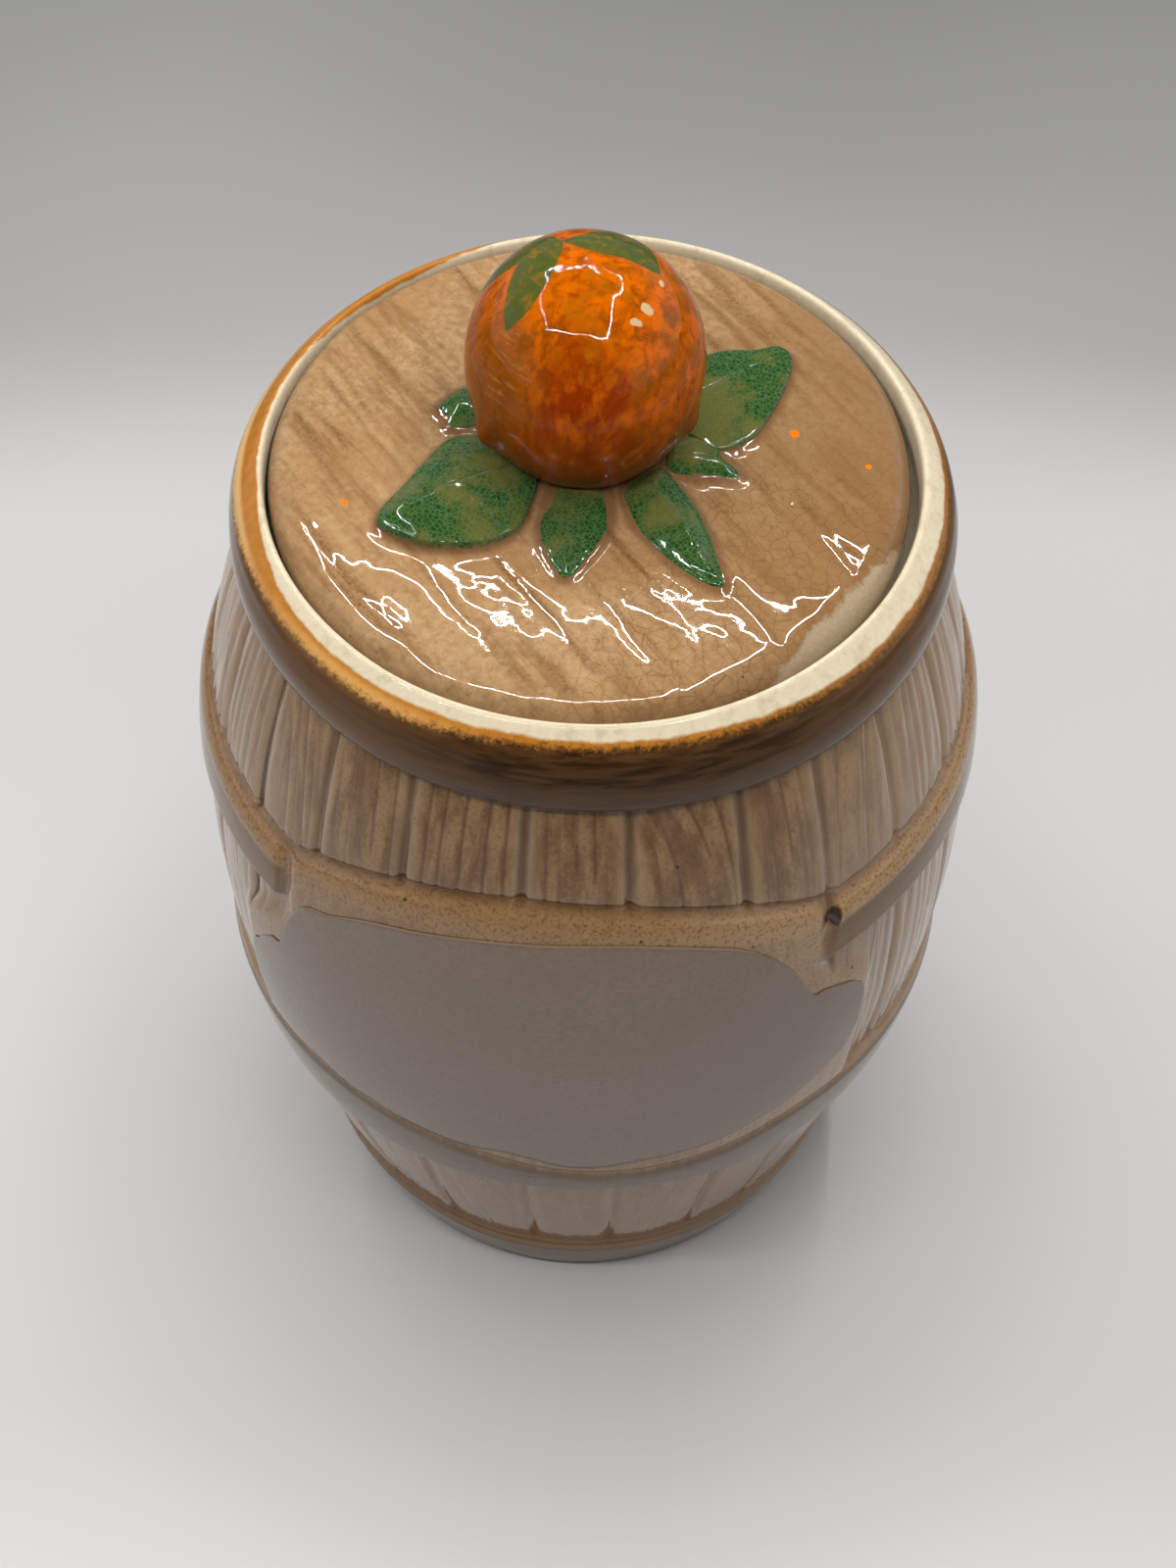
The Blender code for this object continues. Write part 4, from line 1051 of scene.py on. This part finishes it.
def lid_look(top):
    """Warm tan glaze of the lid, crazed in one part, worn pale along its edge and painted darker to its right
    as shade.
    """
    look = Look("lid_glaze_fired")
    x, y = look.x, look.y
    mottle = look.noise(1.1, 5.0, 0.7, 41.0)
    fine = look.noise(2.8, 2.0, 0.6, 40.0)
    broad = look.noise(0.07, 2.0, 0.5, 43.0)
    lines = look.noise((0.06, 0.45, 0.4), 4.0, 0.6, 44.0, (0.0, 0.0, PLANK_DIRECTION), 0.3)
    # Fine crazing at the front right
    craze = look.cells(1.7, "DISTANCE_TO_EDGE", 6.0).between(0.045, 0.0)
    crazed = (x - y * 0.35).between(4.0, 16.0) * y.between(8.0, -6.0) * craze
    ragged = look.noise(0.3, 5.0, 0.65, 47.0) * 3.6 - 1.8
    worn = (x * 0.84 - y * 0.545 + ragged).between(LID_WORN, LID_WORN + 0.8)
    base = look.coats(
        look.blend(mottle.between(0.25, 0.75), (142, 109, 71), (174, 142, 104)),
        (broad.between(0.35, 0.7) * 0.6, (150, 110, 68)),
        (fine.between(0.56, 0.72) * 0.25, (126, 90, 54)),
        (look.field("cut") * (fine.between(0.3, 0.7) * 0.5 + 0.35), (98, 62, 32)),
        (lines.between(0.5, 0.66) * 0.5, (114, 80, 46)),
        (lines.between(0.46, 0.3) * 0.3, (182, 150, 108)),
        # Pooled glaze and painted shade round each leaf's foot
        (look.field("beside").between(-1.3, -0.1) * 0.7, (96, 62, 38)),
        # Painted shade: the lid is painted darker towards its right
        (x.between(2.0, 34.0) * 0.75, (122, 88, 52)),
        (crazed * 0.5, (100, 66, 38)),
        (look.specks(1.3, 0.1, 48.0) * 0.6, (100, 66, 36)),
        (look.specks(3.4, 0.05, 45.0) * 0.85, (62, 40, 24)),
        # The rounded edge is darker, and worn pale at the front right
        (look.field("reach").between(0.94, 1.0) * 0.4, (112, 84, 54)),
        (worn * 0.85, look.blend(fine, (146, 128, 100), (184, 166, 136))))
    for drop_x, drop_y, size in LID_DROPS:
        base = look.blend(look.spot((drop_x, drop_y, top), (size, size, 4.0)), base, (226, 112, 10))
    bumps = ((look.noise(0.25, 2.0, 0.5, 49.0), 0.03), (look.noise(1.2, 2.0, 0.5, 51.0), 0.002))
    return look.finish(base, mottle * 0.03 + 0.01, bumps)


def orange_look():
    """Hand-painted orange glaze with brush strokes, green leaves and bare spots."""
    look = Look("orange_glaze_painted")
    polar, side = look.field("polar"), look.field("side")
    upright = look.noise((0.75, 0.75, 0.13), 5.0, 0.7, 61.0, warp=0.4)
    slanted = look.noise((0.55, 0.55, 0.10), 5.0, 0.7, 62.0, (0.0, 42.0, 0.0), 0.5)
    stroke = look.blend(side.between(-30.0, 34.0), upright, slanted)
    broad = look.noise(0.15, 3.0, 0.6, 63.0, warp=0.6)
    ochre = (broad * 0.6 + upright * 0.5).between(0.53, 0.66)
    streak = look.noise((0.45, 0.45, 0.12), 5.0, 0.7, 65.0, (10.0, 30.0, 0.0), 0.6)
    red = patch(side, polar, (2.0, 72.0), (36.0, 44.0))
    red = red * look.noise((0.4, 0.4, 0.25), 4.0, 0.6, 66.0).between(0.36, 0.58)
    hatch = look.noise((0.35, 0.35, 2.1), 3.0, 0.6, 68.0).between(0.54, 0.66)
    green = look.coats(
        look.blend(look.noise((0.8, 0.8, 0.3), 4.0, 0.7, 67.0), (38, 62, 28), (92, 90, 30)),
        (upright.between(0.5, 0.62) * 0.5, (140, 92, 20)))
    on_leaf = look.field("leaf") + look.noise(0.9, 3.0, 0.6, 69.0) * 1.6
    on_bare = look.field("bare") + look.noise(1.4, 3.0, 0.6, 71.0)
    base = look.coats(
        look.blend(stroke.between(0.36, 0.62), (138, 62, 1), (196, 90, 0)),
        (ochre * 0.65, (138, 82, 6)),
        (streak.between(0.53, 0.66) * 0.45, (100, 60, 8)),
        (red * 0.85, (126, 34, 0)),
        (patch(side, polar, (-52.0, 72.0), (38.0, 44.0)) * 0.65, (118, 66, 4)),
        (patch(side, polar, (-46.0, 66.0), (22.0, 34.0)) * hatch * 0.45, (176, 122, 62)),
        (polar.between(66.0, 118.0) * 0.75, (98, 44, 2)),
        (on_leaf.between(0.3, 1.3), green),
        (on_bare.between(0.5, 0.75), (190, 160, 120)))
    bumps = ((look.noise(0.30, 2.0, 0.5, 73.0), 0.06), (stroke, 0.002))
    return look.finish(base, stroke * 0.04 + 0.01, bumps, 1.27)


def leaf_look():
    """Mottled green glaze over the leaves, bare tan on their side walls."""
    look = Look("green_glaze_painted")
    inward = look.field("inward")
    fine = look.noise(1.9, 3.0, 0.7, 81.0)
    web = look.cells(0.55, "DISTANCE_TO_EDGE", 82.0).between(0.16, 0.0)
    worn = look.noise(0.22, 2.0, 0.6, 83.0) - look.field("along") * 0.16 + inward * 0.015
    paint = look.coats(
        look.blend(fine.between(0.3, 0.7), (18, 54, 21), (48, 82, 37)),
        (web * 0.45, (92, 120, 72)),
        (worn.between(0.36, 0.64) * 0.7, (104, 98, 50)))
    wall = look.blend(fine, (128, 94, 62), (156, 122, 84))
    on_face = inward + look.noise(1.2, 3.0, 0.6, 85.0) * 0.3
    base = look.blend(on_face.between(0.01, 0.17), wall, paint)
    bumps = ((look.noise(0.5, 2.0, 0.5, 87.0), 0.04), (fine, 0.002))
    return look.finish(base, fine * 0.04 + 0.02, bumps, 1.42)


def floor_look():
    """Pale floor with painted light and shade: a greyer painted shade of a backdrop fold behind the jar and
    far out, a painted shadow round the jar, and painted light in front and behind to the right.
    """
    look = Look("studio_floor")
    x = look.x
    back = look.y - x * FOLD_SLANT
    middle = abs(x).between(130.0, 20.0) * back.between(FOLD_BEHIND, FOLD_BEHIND + 110.0)
    right = x.between(20.0, 160.0) * back.between(0.0, 60.0) * back.between(FOLD_BEHIND, FOLD_BEHIND - 30.0)
    base = look.coats(
        # Painted shade of a backdrop fold: greyer behind the jar and far out
        look.blend(back.between(20.0, 90.0), (225, 224, 222), (217, 216, 214)),
        (back.between(FOLD_BEHIND - 28.0, FOLD_BEHIND + 34.0), (183, 182, 180)),
        (back.between(FOLD_BEHIND + 200.0, FOLD_BEHIND + 700.0), (150, 149, 148)),
        # Painted light: the floor in front is painted brighter
        (back.between(-55.0, -100.0), (244, 243, 241)),
        # Painted shadow round the jar
        (patch(x, look.y, (0.0, 0.0), (100.0, 100.0)) * 0.5, (204, 202, 200)),
        # Painted shade of the fold behind the jar's middle
        (middle, (168, 167, 166)),
        # Painted light: a brighter patch behind the jar to the right
        (right * 0.5, (236, 235, 232)))
    return look.finish(base, 0.75)


def build_world():
    """Grey surround: brighter behind and at the sides than in front and overhead."""
    world = bpy.data.worlds.new("surround")
    bpy.context.scene.world = world
    nodes = Nodes(world)
    x, y, z = nodes.split(nodes.add("ShaderNodeTexCoord", "Generated", {}))
    side = abs(x + SURROUND_LEAN).span(*SIDE_SPAN, 0.0, SURROUND_SIDE)
    low = y.span(*BACK_SPAN, SURROUND_FRONT, SURROUND_BACK) + side
    ground = nodes.tree.nodes["Background"]
    nodes.put(ground.inputs["Strength"], z.span(*TOP_SPAN, low, SURROUND_TOP))
    ground.inputs["Color"].default_value = (1.0, 1.0, 1.0, 1.0)


def build_floor():
    """Flat square floor under the jar."""
    mesh = bpy.data.meshes.new("studio_floor")
    half = FLOOR_HALF * MM
    corners = [(-half, -half, 0.0), (half, -half, 0.0), (half, half, 0.0), (-half, half, 0.0)]
    mesh.from_pydata(corners, [], [(0, 1, 2, 3)])
    mesh.materials.append(floor_look())
    made = stand("studio_floor", mesh)


def build_light():
    """Square lamp of four thin strips over the jar, shining down."""
    depth = LAMP_BACK - LAMP_FRONT
    centre = (LAMP_BACK + LAMP_FRONT) / 2.0
    wide = 2.0 * LAMP_HALF_WIDTH
    strips = (("lamp_back", LAMP_MIDDLE, LAMP_BACK, wide, LAMP_STRIP),
              ("lamp_front", LAMP_MIDDLE, LAMP_FRONT, wide, LAMP_STRIP),
              ("lamp_left", LAMP_MIDDLE - LAMP_HALF_WIDTH, centre, LAMP_STRIP, depth),
              ("lamp_right", LAMP_MIDDLE + LAMP_HALF_WIDTH, centre, LAMP_STRIP, depth))
    for (name, x, y, size_x, size_y), power in zip(strips, LAMP_POWERS):
        data = bpy.data.lights.new(name, "AREA")
        data.shape = "RECTANGLE"
        data.size = size_x * MM
        data.size_y = size_y * MM
        data.energy = power
        stand(name, data).location = Vector((x, y, LAMP_HEIGHT)) * MM


def build_camera():
    """Camera at the photograph's angle."""
    data = bpy.data.cameras.new("camera")
    data.lens = CAMERA_LENS
    data.sensor_width = CAMERA_SENSOR
    data.sensor_fit = "AUTO"
    data.clip_start = 0.01
    data.clip_end = 20.0
    aim = Matrix.Rotation(math.radians(CAMERA_TURN), 4, "Z")
    aim = aim @ Matrix.Rotation(math.radians(90.0 - CAMERA_DOWN), 4, "X")
    aim = aim @ Matrix.Rotation(math.radians(CAMERA_ROLL), 4, "Z")
    made = stand("camera", data)
    made.matrix_world = Matrix.Translation(Vector(CAMERA_PLACE) * MM) @ aim
    bpy.context.scene.camera = made


def node_box(node):
    """Corners of a frame node in mm."""
    return tuple(np.array(corner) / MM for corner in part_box(node))


def main():
    """Dress the frame, then set the floor, the light and the camera."""
    bpy.context.scene.view_settings.view_transform = "Standard"
    jar_top = node_box("jar_body")[1][2]
    lid_low, lid_high = node_box("lid_plate")
    knob_low, knob_high = node_box("orange_knob")
    knob = (knob_low[:2] + knob_high[:2]) / 2.0
    lid_radius = (lid_high[0] - lid_low[0]) / 2.0
    build_jar_skin(tan_glaze_look(), jar_top)
    build_label(label_look())
    build_lid(lid_look(lid_high[2]), lid_low, lid_high, knob)
    build_orange(orange_look(), knob_low, knob_high)
    green = leaf_look()
    for name in LEAVES:
        build_leaf(name, green, knob, lid_high[2] - LEAF_STAND, lid_radius)
    build_floor()
    build_world()
    build_light()
    build_camera()


main()
